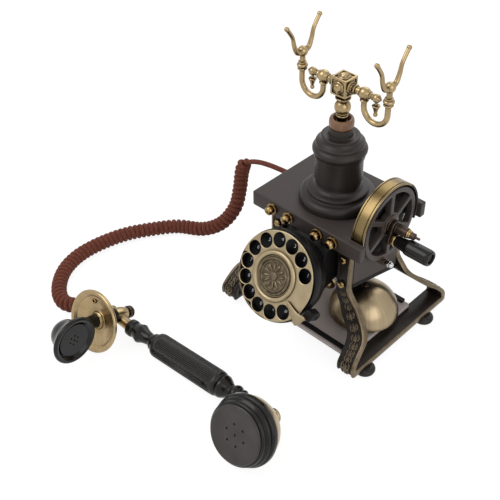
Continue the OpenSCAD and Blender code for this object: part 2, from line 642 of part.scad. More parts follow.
module bar_half() rotate([0, 90, 0]) rotate_extrude() polygon([[0, bar_in], [3.2, bar_in], [3.2, bar_in + 2],
    [4.4, bar_in + 2.4], [4.4, bar_in + 4], [3.2, bar_in + 4.5], [3.6, arm_x - 5], [5.2, arm_x - 2.4],
    [5.6, arm_x], [5.2, arm_x + 2.4], [3.6, arm_x + 4.6], [3.8, arm_x + 5.4], [3, arm_x + 6.6],
    [2.2, end_x - 4], [3.2, end_x - 2.4], [3.9, end_x], [2.9, end_x + 2.6], [1.6, end_x + 3.5],
    [0, end_x + 3.9]]);
module cradle_bar() color([0.62, 0.52, 0.34]) at_column(plate_top + bar_h) for (s = [0, 1])
    mirror([s, 0, 0]) bar_half();

hook_bend = (fork_x - arm_x) / 2;
hook_mid = bar_h - 11.7;
module hook() color([0.62, 0.52, 0.34]) {
    translate([arm_x, 0, hook_mid]) cylinder(h = bar_h - hook_mid - 5.5, r = hook_r);
    translate([arm_x + hook_bend, 0, hook_mid]) rotate([90, 0, 0]) rotate([0, 0, 180])
        rotate_extrude(angle = 180) translate([hook_bend, 0]) circle(r = hook_r, $fn = 24);
    translate([fork_x, 0, hook_mid]) cylinder(h = fork_h - hook_mid - 4.6, r = hook_r);
    translate([fork_x, 0, fork_h - 17]) cylinder(h = 1.8, r = 4.2);
    translate([fork_x, 0, fork_h - 14.6]) cylinder(h = 3, r = 4.9);
    translate([fork_x, 0, fork_h - 11]) cylinder(h = 1.6, r = 3.8);
}
module left_hook() at_column(plate_top) mirror([1, 0, 0]) hook();
module right_hook() at_column(plate_top) hook();
horn_path = smooth([[0, 0.12, -0.02], [0, 0.37, 0.05], [0, 0.54, 0.31], [0, 0.66, 0.63], [0, 1, 1]], 4);
module fork() color([0.62, 0.52, 0.34]) translate([fork_x, 0, fork_h]) {
    sphere(r = 4.8);
    for (s = [-1, 1]) {
        sweep([for (q = horn_path) [0, s * q[1] * horn_reach, q[2] * horn_rise]], horn_r, 10, [1, 0, 0]);
        translate([0, s * horn_reach, horn_rise]) sphere(r = horn_r * 0.98, $fn = 24);
    }
}
module left_fork() at_column(plate_top) mirror([1, 0, 0]) fork();
module right_fork() at_column(plate_top) fork();
module pendants() color([0.45, 0.38, 0.27]) at_column(plate_top + bar_h) for (s = [-1, 1])
    translate([s * end_x, 0, -3.6]) mirror([0, 0, 1]) rotate_extrude() polygon([[0, 0], [1.2, 0], [1.2, 2.2],
        [3.6, 3], [3.6, 4.4], [3, 5], [1.3, 10.4], [1.9, 12], [1.7, 13.4], [0, 14]]);
spring_low = post_low + 2;
module cradle_spring() color([0.6, 0.6, 0.6]) at_column(plate_top + switch_top) difference() {
    cylinder(h = post_low - switch_top, r = post_r + 2.4);
    translate([0, 0, -1]) cylinder(h = 60, r = post_r + 0.8);
}
switch_top = post_low - 9;
module hook_switch() color([0.15, 0.15, 0.16]) at_base() {
    translate([-14, -column_fwd - 9, plate_top + switch_top - 6]) cube([28, 18, 6]);
    translate([-14, 0, plate_top + switch_top - 6]) cube([28, body_d / 2 - body_wall, 6]);
}
board_y = 28;
module circuit_board() color([0.1, 0.3, 0.15]) at_base()
    translate([-42, body_d / 2 - body_wall - 1.6, body_low_back + 14]) cube([18, 1.6, 40]);
module line_jack() color([0.1, 0.1, 0.1]) at_base() translate([-jack_w / 2, body_d / 2 - 12, jack_z])
    difference() {
        cube([jack_w, 12, jack_h]);
        translate([1.5, 2, 1.5]) cube([jack_w - 3, 11, jack_h - 3]);
    }
gland_r = 4.6;
gland_len = 8;
module cord_gland() color([0.6, 0.5, 0.34]) at_base() translate([-body_w / 2, gland_y, gland_z])
    rotate([0, -90, 0]) rotate_extrude() polygon([[cord_d / 2, -body_wall], [gland_r, -body_wall],
        [gland_r, 0],
        [gland_r + 1.6, 0], [gland_r + 1.6, 1.6], [gland_r - 0.4, 2], [cord_d / 2 + 0.8, gland_len],
        [cord_d / 2, gland_len]]);

// ---- handset

module along_grip() rotate([0, 90, 0]) children();
stem_r = 4.6;                      // end of the grip's stem, in the side of the receiver's knob
rib_n = 30;
module handset_grip() color([0.07, 0.07, 0.07]) at_handset() along_grip() rotate_extrude() polygon([
    [0, -hgrip_half], [hgrip_r - 3, -hgrip_half], [hgrip_r - 0.8, -hgrip_half + 1],
    [hgrip_r, -hgrip_half + 3],
    [hgrip_r, hgrip_half - 3], [hgrip_r - 0.8, hgrip_half - 1], [hgrip_r - 3, hgrip_half], [0, hgrip_half]]);
module handset_collars() color([0.06, 0.06, 0.06]) at_handset() along_grip() {
    rotate_extrude() polygon([[0, -80], [6.8, -80], [8.2, -77.6], [8.4, -73], [7.4, -69], [6.4, -67],
        [8.2, -64.6], [9.6, -60.5], [9.2, -56], [7, -52], [5.6, -49], [6, -46], [8, -hgrip_half],
        [0, -hgrip_half]]);
    rotate_extrude() polygon([[0, hgrip_half], [9, hgrip_half], [11.2, 44.5], [11.6, 48], [10.6, 51.5],
        [7.4, 53.5], [6.8, 55.5], [8.6, 58], [9.2, 61.5], [8.2, 65.5], [6.6, 68.6],
        [6.6, receiver_x - 15], [stem_r, receiver_x - 12], [stem_r, receiver_x - 4],
        [0, receiver_x - 4]]);
}
tube_r = 5.6;
module handset_tube() color([0.6, 0.52, 0.36]) at_handset()
    rod([-80, 0, 0], [-barrel_x, barrel_up * 0.4, 0], tube_r);
module at_barrel() at_handset() translate([-barrel_x, barrel_up, 0]) children();
module mouthpiece_barrel() color([0.62, 0.54, 0.38]) at_barrel() rotate_extrude() polygon([
    [0, -20], [3.4, -19.4],
    [5.2, -17], [5.6, -14.5], [4.6, -12.6], [4.2, -11.4], [5.4, -9.6], [6.6, -7], [7.4, -2], [7.4, 3],
    [6.4, 8],
    [5, 11.5], [5.6, 14], [8, 17], [11, 20], [12, 22], [0, 22]]);
module mouthpiece_dish() color([0.66, 0.57, 0.4]) at_barrel() translate([0, 0, dish_z])
    rotate_extrude() polygon([
    [0, 0], [12, 0], [20, 4.6], [dish_r - 4, 8.6], [dish_r - 1.2, 9], [dish_r, 10.4], [dish_r, 12.2],
    [dish_r - 1.2, 13.4], [dish_r - 3, 13.2], [dish_r - 5, 11.6], [20, 8.4], [11, 5],
    [7.4, 6.6], [7, 9], [0, 9]]);
// Elbow pipe and the bowl that faces along the grip
mouth_c = [17, -4, 69.7];
module mouthpiece_horn() color([0.06, 0.06, 0.06]) at_barrel() {
    sweep(smooth([[0, 0, dish_z + 9], [0, -0.4, 42], [-0.4, -1, 52], [-1, -2.4, 61], [1, -3.4, 66],
        [4, -3.8, 69]], 4), 6, 12, [1, 0, 0]);
    translate(mouth_c) rotate([0, 90, 0]) difference() {
        rotate_extrude() polygon([[0, -26], [6, -25.4], [11, -22.6], [14.4, -18], [16, -12.6], [18, -7.6],
            [mouth_r - 2.4, -4.4], [mouth_r, -2], [mouth_r, -0.6], [mouth_r - 1, 0.6], [mouth_r - 3.4, 0.8],
            [mouth_r - 4.4, 0], [0, 0]]);
        translate([0, 0, -3]) cylinder(h = 5, r = mouth_r - 4.6);
    }
}
module seven_holes(ring, r, h, first = 30) {
    translate([0, 0, -1]) cylinder(h = h, r = r, $fn = 24);
    for (i = [0 : 5]) rotate([0, 0, 60 * i + first]) translate([ring, 0, -1])
        cylinder(h = h, r = r, $fn = 24);
}
module mouthpiece_face() color([0.09, 0.085, 0.085]) at_barrel() translate(mouth_c) rotate([0, 90, 0])
    translate([0, 0, -3]) difference() {
        cylinder(h = 1.8, r = mouth_r - 4.6);
        seven_holes(4.6, 0.8, 5);
    }
module at_receiver() at_handset() translate([receiver_x, 0, 0]) children();
// Shallow cone that opens towards the ring
module receiver_cup() color([0.62, 0.53, 0.36]) at_receiver() rotate_extrude() polygon([[0, 6], [8, 6],
    [11.5, 8.5], [16, 12], [21, 16.5], [25.2, 21], [27.8, 25], [30, 30], [30.8, 32.5],
    [31, ring_low - 4.4], [28, ring_low - 4.4], [27.6, 31], [25.6, 26.4], [23.2, 22.8], [19.2, 18.4],
    [14.6, 14.6], [10, 11.4], [0, 10]]);
module receiver_rings() color([0.05, 0.05, 0.05]) at_receiver() rotate_extrude() polygon([
    [24, ring_low - 4.4], [ring_r - 1, ring_low - 4.4], [ring_r, ring_low - 2.8], [ring_r, ring_low + 0.8],
    [ring_r - 1.4, ring_low + 2.2], [ring_r - 2.2, ring_low + 2.8], [ring_r - 1.8, ring_low + 3.8],
    [ring_r - 1.8, ring_low + 5.6], [ring_r - 3.4, ring_low + 7], [ring_r - 4, ring_low + 7.6],
    [ring_r - 3.6, ring_low + 9], [ring_r - 4, ring_low + 11], [ring_r - 5.4, ring_low + 12.2],
    [24, ring_low + 12.2]]);
module receiver_face() color([0.1, 0.09, 0.09]) at_receiver() translate([0, 0, ring_low + 12.2])
    difference() {
    rotate_extrude() polygon([[0, 0], [26.4, 0], [26.8, 0.8], [26.6, face_t - 0.4], [25.8, face_t],
        [24.6, face_t], [20, face_t - 0.7], [12, face_t - 1.1], [0, face_t - 1.2]]);
    seven_holes(9.85, 1.1, 8, 51);
}
face_t = face_h - ring_low - 12.2; // thickness of the receiver's face at its rim, hollowed to the middle
// Turned knob behind the cup; the grip's stem ends in its side
module receiver_knob() color([0.55, 0.46, 0.32]) at_receiver() difference() {
    mirror([0, 0, 1]) translate([0, 0, -6]) rotate_extrude() polygon([[0, 0], [5.2, 0], [5.2, 1.8],
        [7.2, 2.6], [7.4, 4.4], [7, 6], [6.2, 6.6], [7.5, 7.4], [7.8, 9.2], [6.9, 10.8], [4, 11.8],
        [0, 12]]);
    rotate([0, -90, 0]) cylinder(h = 40, r = stem_r);
}
module handset_gland() color([0.6, 0.5, 0.34]) at_barrel() rotate([0, -90, 0]) rotate_extrude() polygon([
    [0, 6], [4.6, 6], [4.6, 8], [5.4, 8.6], [5.4, 10.4], [4.4, 11], [3.8, 14], [0, 14]]);

// ---- handset cord: plain lead from the body, then the curly length down to the table and along it

// Chosen points, from the base's middle, with heights above the table
LEAD = [[-57.5, 24, 109], [-70, 24, 109], [-84, 24.1, 108.4], [-98, 24.3, 107.2], [-111, 24.5, 105.6],
    [-124, 24.3, 103.2], [-134, 23.6, 100.2], [-141, 22.6, 97]];
COIL = [[-140, 22.8, 97.6], [-146.5, 21, 91], [-148.5, 19, 80], [-147.6, 14.6, 62], [-147.5, 6.6, 42],
    [-155.5, -6.6, 23.5], [-173.5, -19.5, 12.2], [-200.5, -32.4, 8.7], [-216, -51.4, 8.5],
    [-233, -80.2, 8.5],
    [-241.6, -109.6, 8.5], [-243.4, -138.8, 8.5], [-236.8, -163.2, 8.5], [-223.4, -182, 8.5],
    [-206, -195, 8.5], [-190, -198, 9], [-174, -190.5, 11.4], [-160, -180.6, 14], [-147.4, -176.4, 15.3]];
module cord_lead() color([0.35, 0.14, 0.11]) at_base() sweep(smooth(LEAD, 2), cord_d / 2, 8);
module cord_coil() color([0.38, 0.15, 0.12]) at_base() sweep(smooth(COIL, 3), curl_d / 2, 12, [0, 1, 0]);

top_plate();
column();
wood_collar();
body_case();
bottom_cover();
left_side_frame();
right_side_frame();
base_plate();
base_trim();
feet();
left_gong();
right_gong();
gong_posts();
ringer_coils();
bell_hammer();
terminal_screws();
frame_screws();
dial_housing();
dial_bracket();
number_plate();
finger_stop();
finger_wheel();
dial_medallion();
dial_shaft();
crank_arch();
wheel_back();
spoked_wheel();
crank_axle();
crank_arm();
crank_grip();
axle_bush();
drag_rod();
drag_spring();
cradle_post();
cradle_cube();
cradle_bar();
left_hook();
right_hook();
left_fork();
right_fork();
pendants();
cradle_spring();
hook_switch();
circuit_board();
line_jack();
cord_gland();
handset_grip();
handset_collars();
handset_tube();
mouthpiece_barrel();
mouthpiece_dish();
mouthpiece_horn();
mouthpiece_face();
receiver_cup();
receiver_rings();
receiver_face();
receiver_knob();
handset_gland();
cord_lead();
cord_coil();
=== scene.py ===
"""Antique style corded telephone: the look of every visible piece, built over its construction solids."""

import logging
from dataclasses import dataclass
from enum import Enum
from itertools import accumulate
from math import acos, asin, cos, pi, radians, sin, sqrt
from typing import Optional, Sequence

import bmesh
import bpy
from bpy.types import ID, Material, Mesh, Node, NodeSocket, NodeTree, Object
from mathutils import Matrix, Vector
from mathutils.geometry import tessellate_polygon


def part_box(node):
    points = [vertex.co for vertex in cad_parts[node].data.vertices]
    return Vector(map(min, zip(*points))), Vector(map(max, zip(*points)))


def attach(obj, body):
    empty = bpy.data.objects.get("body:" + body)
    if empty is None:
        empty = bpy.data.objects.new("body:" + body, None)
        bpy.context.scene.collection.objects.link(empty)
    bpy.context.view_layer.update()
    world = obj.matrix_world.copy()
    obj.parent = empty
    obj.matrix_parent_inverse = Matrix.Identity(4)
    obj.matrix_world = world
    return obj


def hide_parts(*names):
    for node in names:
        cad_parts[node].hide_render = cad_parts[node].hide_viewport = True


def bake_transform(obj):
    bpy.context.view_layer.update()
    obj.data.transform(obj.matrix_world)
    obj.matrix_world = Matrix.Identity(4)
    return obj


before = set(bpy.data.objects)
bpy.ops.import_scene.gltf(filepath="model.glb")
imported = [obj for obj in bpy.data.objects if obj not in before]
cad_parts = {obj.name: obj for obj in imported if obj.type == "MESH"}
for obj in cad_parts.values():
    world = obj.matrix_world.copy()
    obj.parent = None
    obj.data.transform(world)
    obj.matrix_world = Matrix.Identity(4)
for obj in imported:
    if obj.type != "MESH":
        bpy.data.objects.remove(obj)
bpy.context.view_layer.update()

LOG = logging.getLogger("telephone")
MM = 0.001
TURN = 2.0 * pi
QUARTER = pi / 2
Pair = tuple[float, float]
Triple = tuple[float, float, float]
Colour = tuple[float, float, float]
Faces = list[Sequence[int]]
Inputs = dict[str | int, object]


class Body(str, Enum):
    """Rigid bodies that a piece can ride on."""

    BASE = "base"
    DIAL = "dial"
    CRANK = "crank"
    GRIP = "grip_spin"
    CRADLE = "cradle"
    HANDSET = "handset"


# ---- places


@dataclass(frozen=True)
class Layout:
    """Sizes in millimetres that place the sub-assemblies on the base."""

    plate_top: float = 135.0
    plate_t: float = 16.0
    plate_w: float = 130.0
    plate_d: float = 98.0
    notch_x: float = 48.0
    notch_y: float = 41.8
    body_w: float = 98.8
    body_d: float = 68.0
    column_fwd: float = 2.3
    dial_x: float = 6.2
    dial_fwd: float = 94.0
    dial_drop: float = 35.8
    dial_lean: float = radians(27.9)
    axle_drop: float = 1.5
    handset_x: float = -34.0
    handset_y: float = -171.0
    handset_turn: float = radians(3.5)
    handset_tilt: float = radians(24.0)
    barrel_x: float = 98.5
    barrel_up: float = 4.5
    receiver_x: float = 101.5
    ring_r: float = 32.6
    ring_low: float = 38.4
    dish_r: float = 31.4
    dish_z: float = 22.0

    @property
    def origin(self) -> Vector:
        """Middle of the base on the table, in millimetres."""
        low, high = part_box("body_case")
        return Vector(((low[0] + high[0]) / 2, (low[1] + high[1]) / 2, 0.0)) / MM

    @property
    def handset_lean(self) -> float:
        """Slope of the grip that rests both the dish and the receiver's ring on the table."""
        return asin((self.ring_dip - self.dish_dip) / (self.barrel_x + self.receiver_x))

    @property
    def ring_dip(self) -> float:
        """Depth of the receiver's largest ring below the grip's axis."""
        tilt = self.handset_tilt
        return self.ring_r * cos(tilt) - (self.ring_low - 2.8) * sin(tilt)

    @property
    def dish_dip(self) -> float:
        """Depth of the mouthpiece dish below the grip's axis."""
        tilt = self.handset_tilt
        return (self.dish_r - self.barrel_up) * cos(tilt) - (self.dish_z + 10.4) * sin(tilt)


SIZES = Layout()


def moved(x: float, y: float, z: float) -> Matrix:
    """A shift in millimetres."""
    return Matrix.Translation((x, y, z))


def up(z: float) -> Matrix:
    """A shift along Z in millimetres."""
    return moved(0, 0, z)


def turned(angle: float, axis: str) -> Matrix:
    """A turn in radians about X, Y or Z."""
    return Matrix.Rotation(angle, 4, axis)


AT_ORIGIN = Matrix.Identity(4)
AT_BASE = Matrix.Translation(SIZES.origin)
AT_PLATE = AT_BASE @ up(SIZES.plate_top)
AT_COLUMN = AT_PLATE @ moved(0, -SIZES.column_fwd, 0)
AT_DIAL = AT_PLATE @ moved(SIZES.dial_x, -SIZES.dial_fwd, -SIZES.dial_drop) @ turned(
    QUARTER - SIZES.dial_lean, "X"
)
AT_AXLE = AT_PLATE @ up(-SIZES.axle_drop) @ turned(QUARTER, "Y")
AT_HANDSET = (
    AT_BASE
    @ moved(
        SIZES.handset_x, SIZES.handset_y, SIZES.ring_dip - SIZES.receiver_x * sin(SIZES.handset_lean) + 0.1)
    @ turned(SIZES.handset_turn, "Z") @ turned(-SIZES.handset_lean, "Y")
    @ turned(QUARTER - SIZES.handset_tilt, "X"))
AT_GRIP = AT_HANDSET @ turned(QUARTER, "Y")
AT_BARREL = AT_HANDSET @ moved(-SIZES.barrel_x, SIZES.barrel_up, 0)
AT_RECEIVER = AT_HANDSET @ moved(SIZES.receiver_x, 0, 0)


# ---- finishes


def filled(tree: NodeTree, node: Node, inputs: Inputs) -> Node:
    """Links or sets some of a node's inputs.

    Args:
        tree: The node's tree.
        node: The node.
        inputs: For each input, by name or number, the socket that feeds it or its value.

    Returns:
        The node.
    """
    for name, given in inputs.items():
        if isinstance(given, NodeSocket):
            tree.links.new(given, node.inputs[name])
        else:
            node.inputs[name].default_value = given
    return node


class Graph:
    """A material's nodes, added by short calls."""

    def __init__(self, name: str) -> None:
        """Starts an empty material with its shader and output.

        Args:
            name: Name of the material.
        """
        self.material = bpy.data.materials.new(name)
        self.material.use_nodes = True
        self.tree = self.material.node_tree
        self.tree.nodes.clear()
        self.shader = self.tree.nodes.new("ShaderNodeBsdfPrincipled")
        self.added("ShaderNodeOutputMaterial", {"Surface": self.shader.outputs[0]})
        self.place = self.added("ShaderNodeTexCoord").outputs["Object"]

    def added(self, kind: str, inputs: Optional[Inputs] = None) -> Node:
        """A new node with its inputs filled."""
        return filled(self.tree, self.tree.nodes.new(kind), inputs or {})

    def dress(self, inputs: Inputs) -> None:
        """Fills inputs of the shader."""
        filled(self.tree, self.shader, inputs)

    def stretched(self, scale: Triple) -> NodeSocket:
        """The object's coordinates scaled along each axis."""
        return self.added("ShaderNodeMapping", {"Scale": scale, "Vector": self.place}).outputs["Vector"]

    def noise(self, scale: float, detail: float = 3.0, source: Optional[NodeSocket] = None) -> NodeSocket:
        """A noise value.

        Args:
            scale: Features per metre.
            detail: Octaves of noise.
            source: Coordinates, or the object's own.

        Returns:
            The socket with the value.
        """
        inputs = {"Scale": scale, "Detail": detail, "Vector": source or self.place}
        return self.added("ShaderNodeTexNoise", inputs).outputs[0]

    def ranged(
        self, source: NodeSocket, low: float, high: float, to_low: float, to_high: float
    ) -> NodeSocket:
        """A value mapped from one range to another and clamped."""
        inputs = {"Value": source, "From Min": low, "From Max": high, "To Min": to_low, "To Max": to_high}
        return self.added("ShaderNodeMapRange", inputs).outputs[0]

    def mixed(self, factor: NodeSocket, low: Colour | NodeSocket, high: Colour | NodeSocket) -> NodeSocket:
        """A colour between two colours.

        Args:
            factor: 0 for the first colour, 1 for the second.
            low: Colour or socket at 0.
            high: Colour or socket at 1.

        Returns:
            The socket with the colour.
        """
        node = self.added("ShaderNodeMix")
        node.data_type = "RGBA"
        ends = [end if isinstance(end, NodeSocket) else (*end, 1.0) for end in (low, high)]
        return filled(self.tree, node, {0: factor, 6: ends[0], 7: ends[1]}).outputs[2]

    def hollows(self, reach: float) -> NodeSocket:
        """How open the surface is, the mask of the painted shade in recesses: 0 in a recess and 1 in the
        open.

        Args:
            reach: Size of the recesses in metres.

        Returns:
            The socket with the value.
        """
        node = self.added("ShaderNodeAmbientOcclusion", {"Distance": reach})
        node.samples = 6
        return node.outputs["AO"]

    def bumped(self, height: NodeSocket, strength: float, depth: float) -> None:
        """Raises the surface by a height.

        Args:
            height: Socket with the height, 0 to 1.
            strength: Share of the effect.
            depth: Metres at a height of 1.
        """
        node = self.added("ShaderNodeBump", {"Strength": strength, "Distance": depth, "Height": height})
        self.dress({"Normal": node.outputs[0]})


@dataclass(frozen=True)
class Finish:
    """A surface: two close colours, gloss, fine grain, and recesses painted darker or lighter, which is
    painted shade (on the brass and bronze partly patina).
    """

    name: str
    slot: str
    colour: Colour
    shade: Colour
    metallic: float = 0.0
    rough: Pair = (0.4, 0.5)
    mottle: float = 60.0
    grain: float = 900.0
    stretch: Triple = (1.0, 1.0, 1.0)
    depth: float = 0.00003
    coat: float = 0.0
    specular: float = 0.5
    # recess is the colour of the painted shade in hollows, on brass and bronze partly patina; reach and
    # open_range set how far it spreads
    recess: Optional[Colour] = None
    reach: float = 0.003
    open_range: Pair = (0.35, 0.85)

    def material(self) -> Material:
        """The material, made once and then shared.

        Returns:
            The material.
        """
        found = bpy.data.materials.get(self.name)
        if found is None:
            graph = Graph(self.name)
            self.paint(graph)
            found = graph.material
        return found

    def paint(self, graph: Graph) -> None:
        """Adds the nodes of a mottled, finely grained surface, with painted shade in its recesses.

        Args:
            graph: The material's nodes.
        """
        place = graph.stretched(self.stretch)
        mottle = graph.noise(self.mottle, 4.0, place)
        grain = graph.noise(self.grain, 3.0, place)
        colour = graph.mixed(graph.ranged(mottle, 0.3, 0.7, 0.0, 1.0), self.colour, self.shade)
        # Painted shade: hollows found by ambient occlusion are mixed towards the recess colour.
        if self.recess is not None:
            unshaded = graph.ranged(graph.hollows(self.reach), *self.open_range, 0.0, 1.0)
            colour = graph.mixed(unshaded, self.recess, colour)
        graph.dress({
            "Base Color": colour, "Roughness": graph.ranged(grain, 0.3, 0.7, *self.rough),
            "Metallic": self.metallic, "Specular IOR Level": self.specular,
            "Coat Weight": self.coat, "Coat Roughness": 0.12,
        })
        graph.bumped(grain, 0.6, self.depth)


@dataclass(frozen=True)
class TurnedWood(Finish):
    """Varnished wood with fine growth lines."""

    lines: float = 420.0

    def paint(self, graph: Graph) -> None:
        """Adds the nodes of the wood.

        Args:
            graph: The material's nodes.
        """
        warp = graph.noise(260.0, 5.0, graph.stretched((1.0, 1.0, 0.16)))
        streaks = graph.noise(self.lines * 4, 2.0, graph.stretched((1.0, 1.0, 0.06)))
        colour = graph.mixed(graph.ranged(warp, 0.32, 0.68, 0.0, 1.0), self.colour, self.shade)
        dark = tuple(c * 0.45 for c in self.shade)
        graph.dress({
            "Base Color": graph.mixed(graph.ranged(streaks, 0.52, 0.72, 0.0, 0.6), colour, dark),
            "Roughness": graph.ranged(warp, 0.3, 0.7, *self.rough),
            "Coat Weight": self.coat, "Coat Roughness": 0.2,
        })
        graph.bumped(streaks, 0.5, 0.00005)


@dataclass(frozen=True)
class WovenSleeve(Finish):
    """Braided textile over a cord, with painted shade between the strands; the pattern follows the cord's UV
    map in millimetres.
    """

    strand: float = 1.1

    def paint(self, graph: Graph) -> None:
        """Adds the nodes of the braid.

        Args:
            graph: The material's nodes.
        """
        uv = graph.added("ShaderNodeUVMap")
        uv.uv_map = "along"
        waves = []
        for angle in (radians(35), radians(-35)):
            turn = graph.added("ShaderNodeMapping", {"Rotation": (0.0, 0.0, angle), "Vector": uv.outputs[0]})
            inputs = {"Scale": 0.31 / self.strand, "Distortion": 0.4, "Vector": turn.outputs[0]}
            waves.append(graph.added("ShaderNodeTexWave", inputs).outputs["Fac"])
        top = graph.added("ShaderNodeMath", {0: waves[0], 1: waves[1]})
        top.operation = "MAXIMUM"
        # Painted shade: the grooves between strands are mixed towards the darker colour.
        colour = graph.mixed(graph.ranged(top.outputs[0], 0.35, 0.95, 0.0, 1.0), self.shade, self.colour)
        faded = tuple(min(1.0, c * 1.35 + 0.01) for c in self.colour)
        fuzz = graph.ranged(graph.noise(300.0, 4.0), 0.5, 0.75, 0.0, 0.5)
        graph.dress({
            "Base Color": graph.mixed(fuzz, colour, faded), "Roughness": 0.85,
            "Sheen Weight": 0.08, "Sheen Roughness": 0.5, "Specular IOR Level": 0.2,
        })
        graph.bumped(top.outputs[0], 0.9, 0.00035)


@dataclass(frozen=True)
class SpunBrass(Finish):
    """Spun metal whose light and dark bands from the crown to the rim are painted reflection, laid out along
    directions that are kept in the mesh.
    """

    def paint(self, graph: Graph) -> None:
        """Adds the nodes of the spun metal with its painted reflection bands.

        Args:
            graph: The material's nodes.
        """
        spin = graph.added("ShaderNodeAttribute")
        spin.attribute_name = "spin"
        # Painted reflection: broad light and dark bands round the crown, and finer dark streaks along them.
        bands = graph.noise(self.mottle, 1.0, spin.outputs["Vector"])
        fine = graph.noise(self.mottle * 6.0, 1.0, spin.outputs["Vector"])
        colour = graph.mixed(graph.ranged(bands, 0.36, 0.6, 0.0, 1.0), self.shade, self.colour)
        graph.dress({
            "Base Color": graph.mixed(graph.ranged(fine, 0.35, 0.7, 0.0, 0.3), colour, self.shade),
            "Roughness": graph.ranged(graph.noise(self.grain), 0.3, 0.7, *self.rough),
            "Metallic": self.metallic,
        })


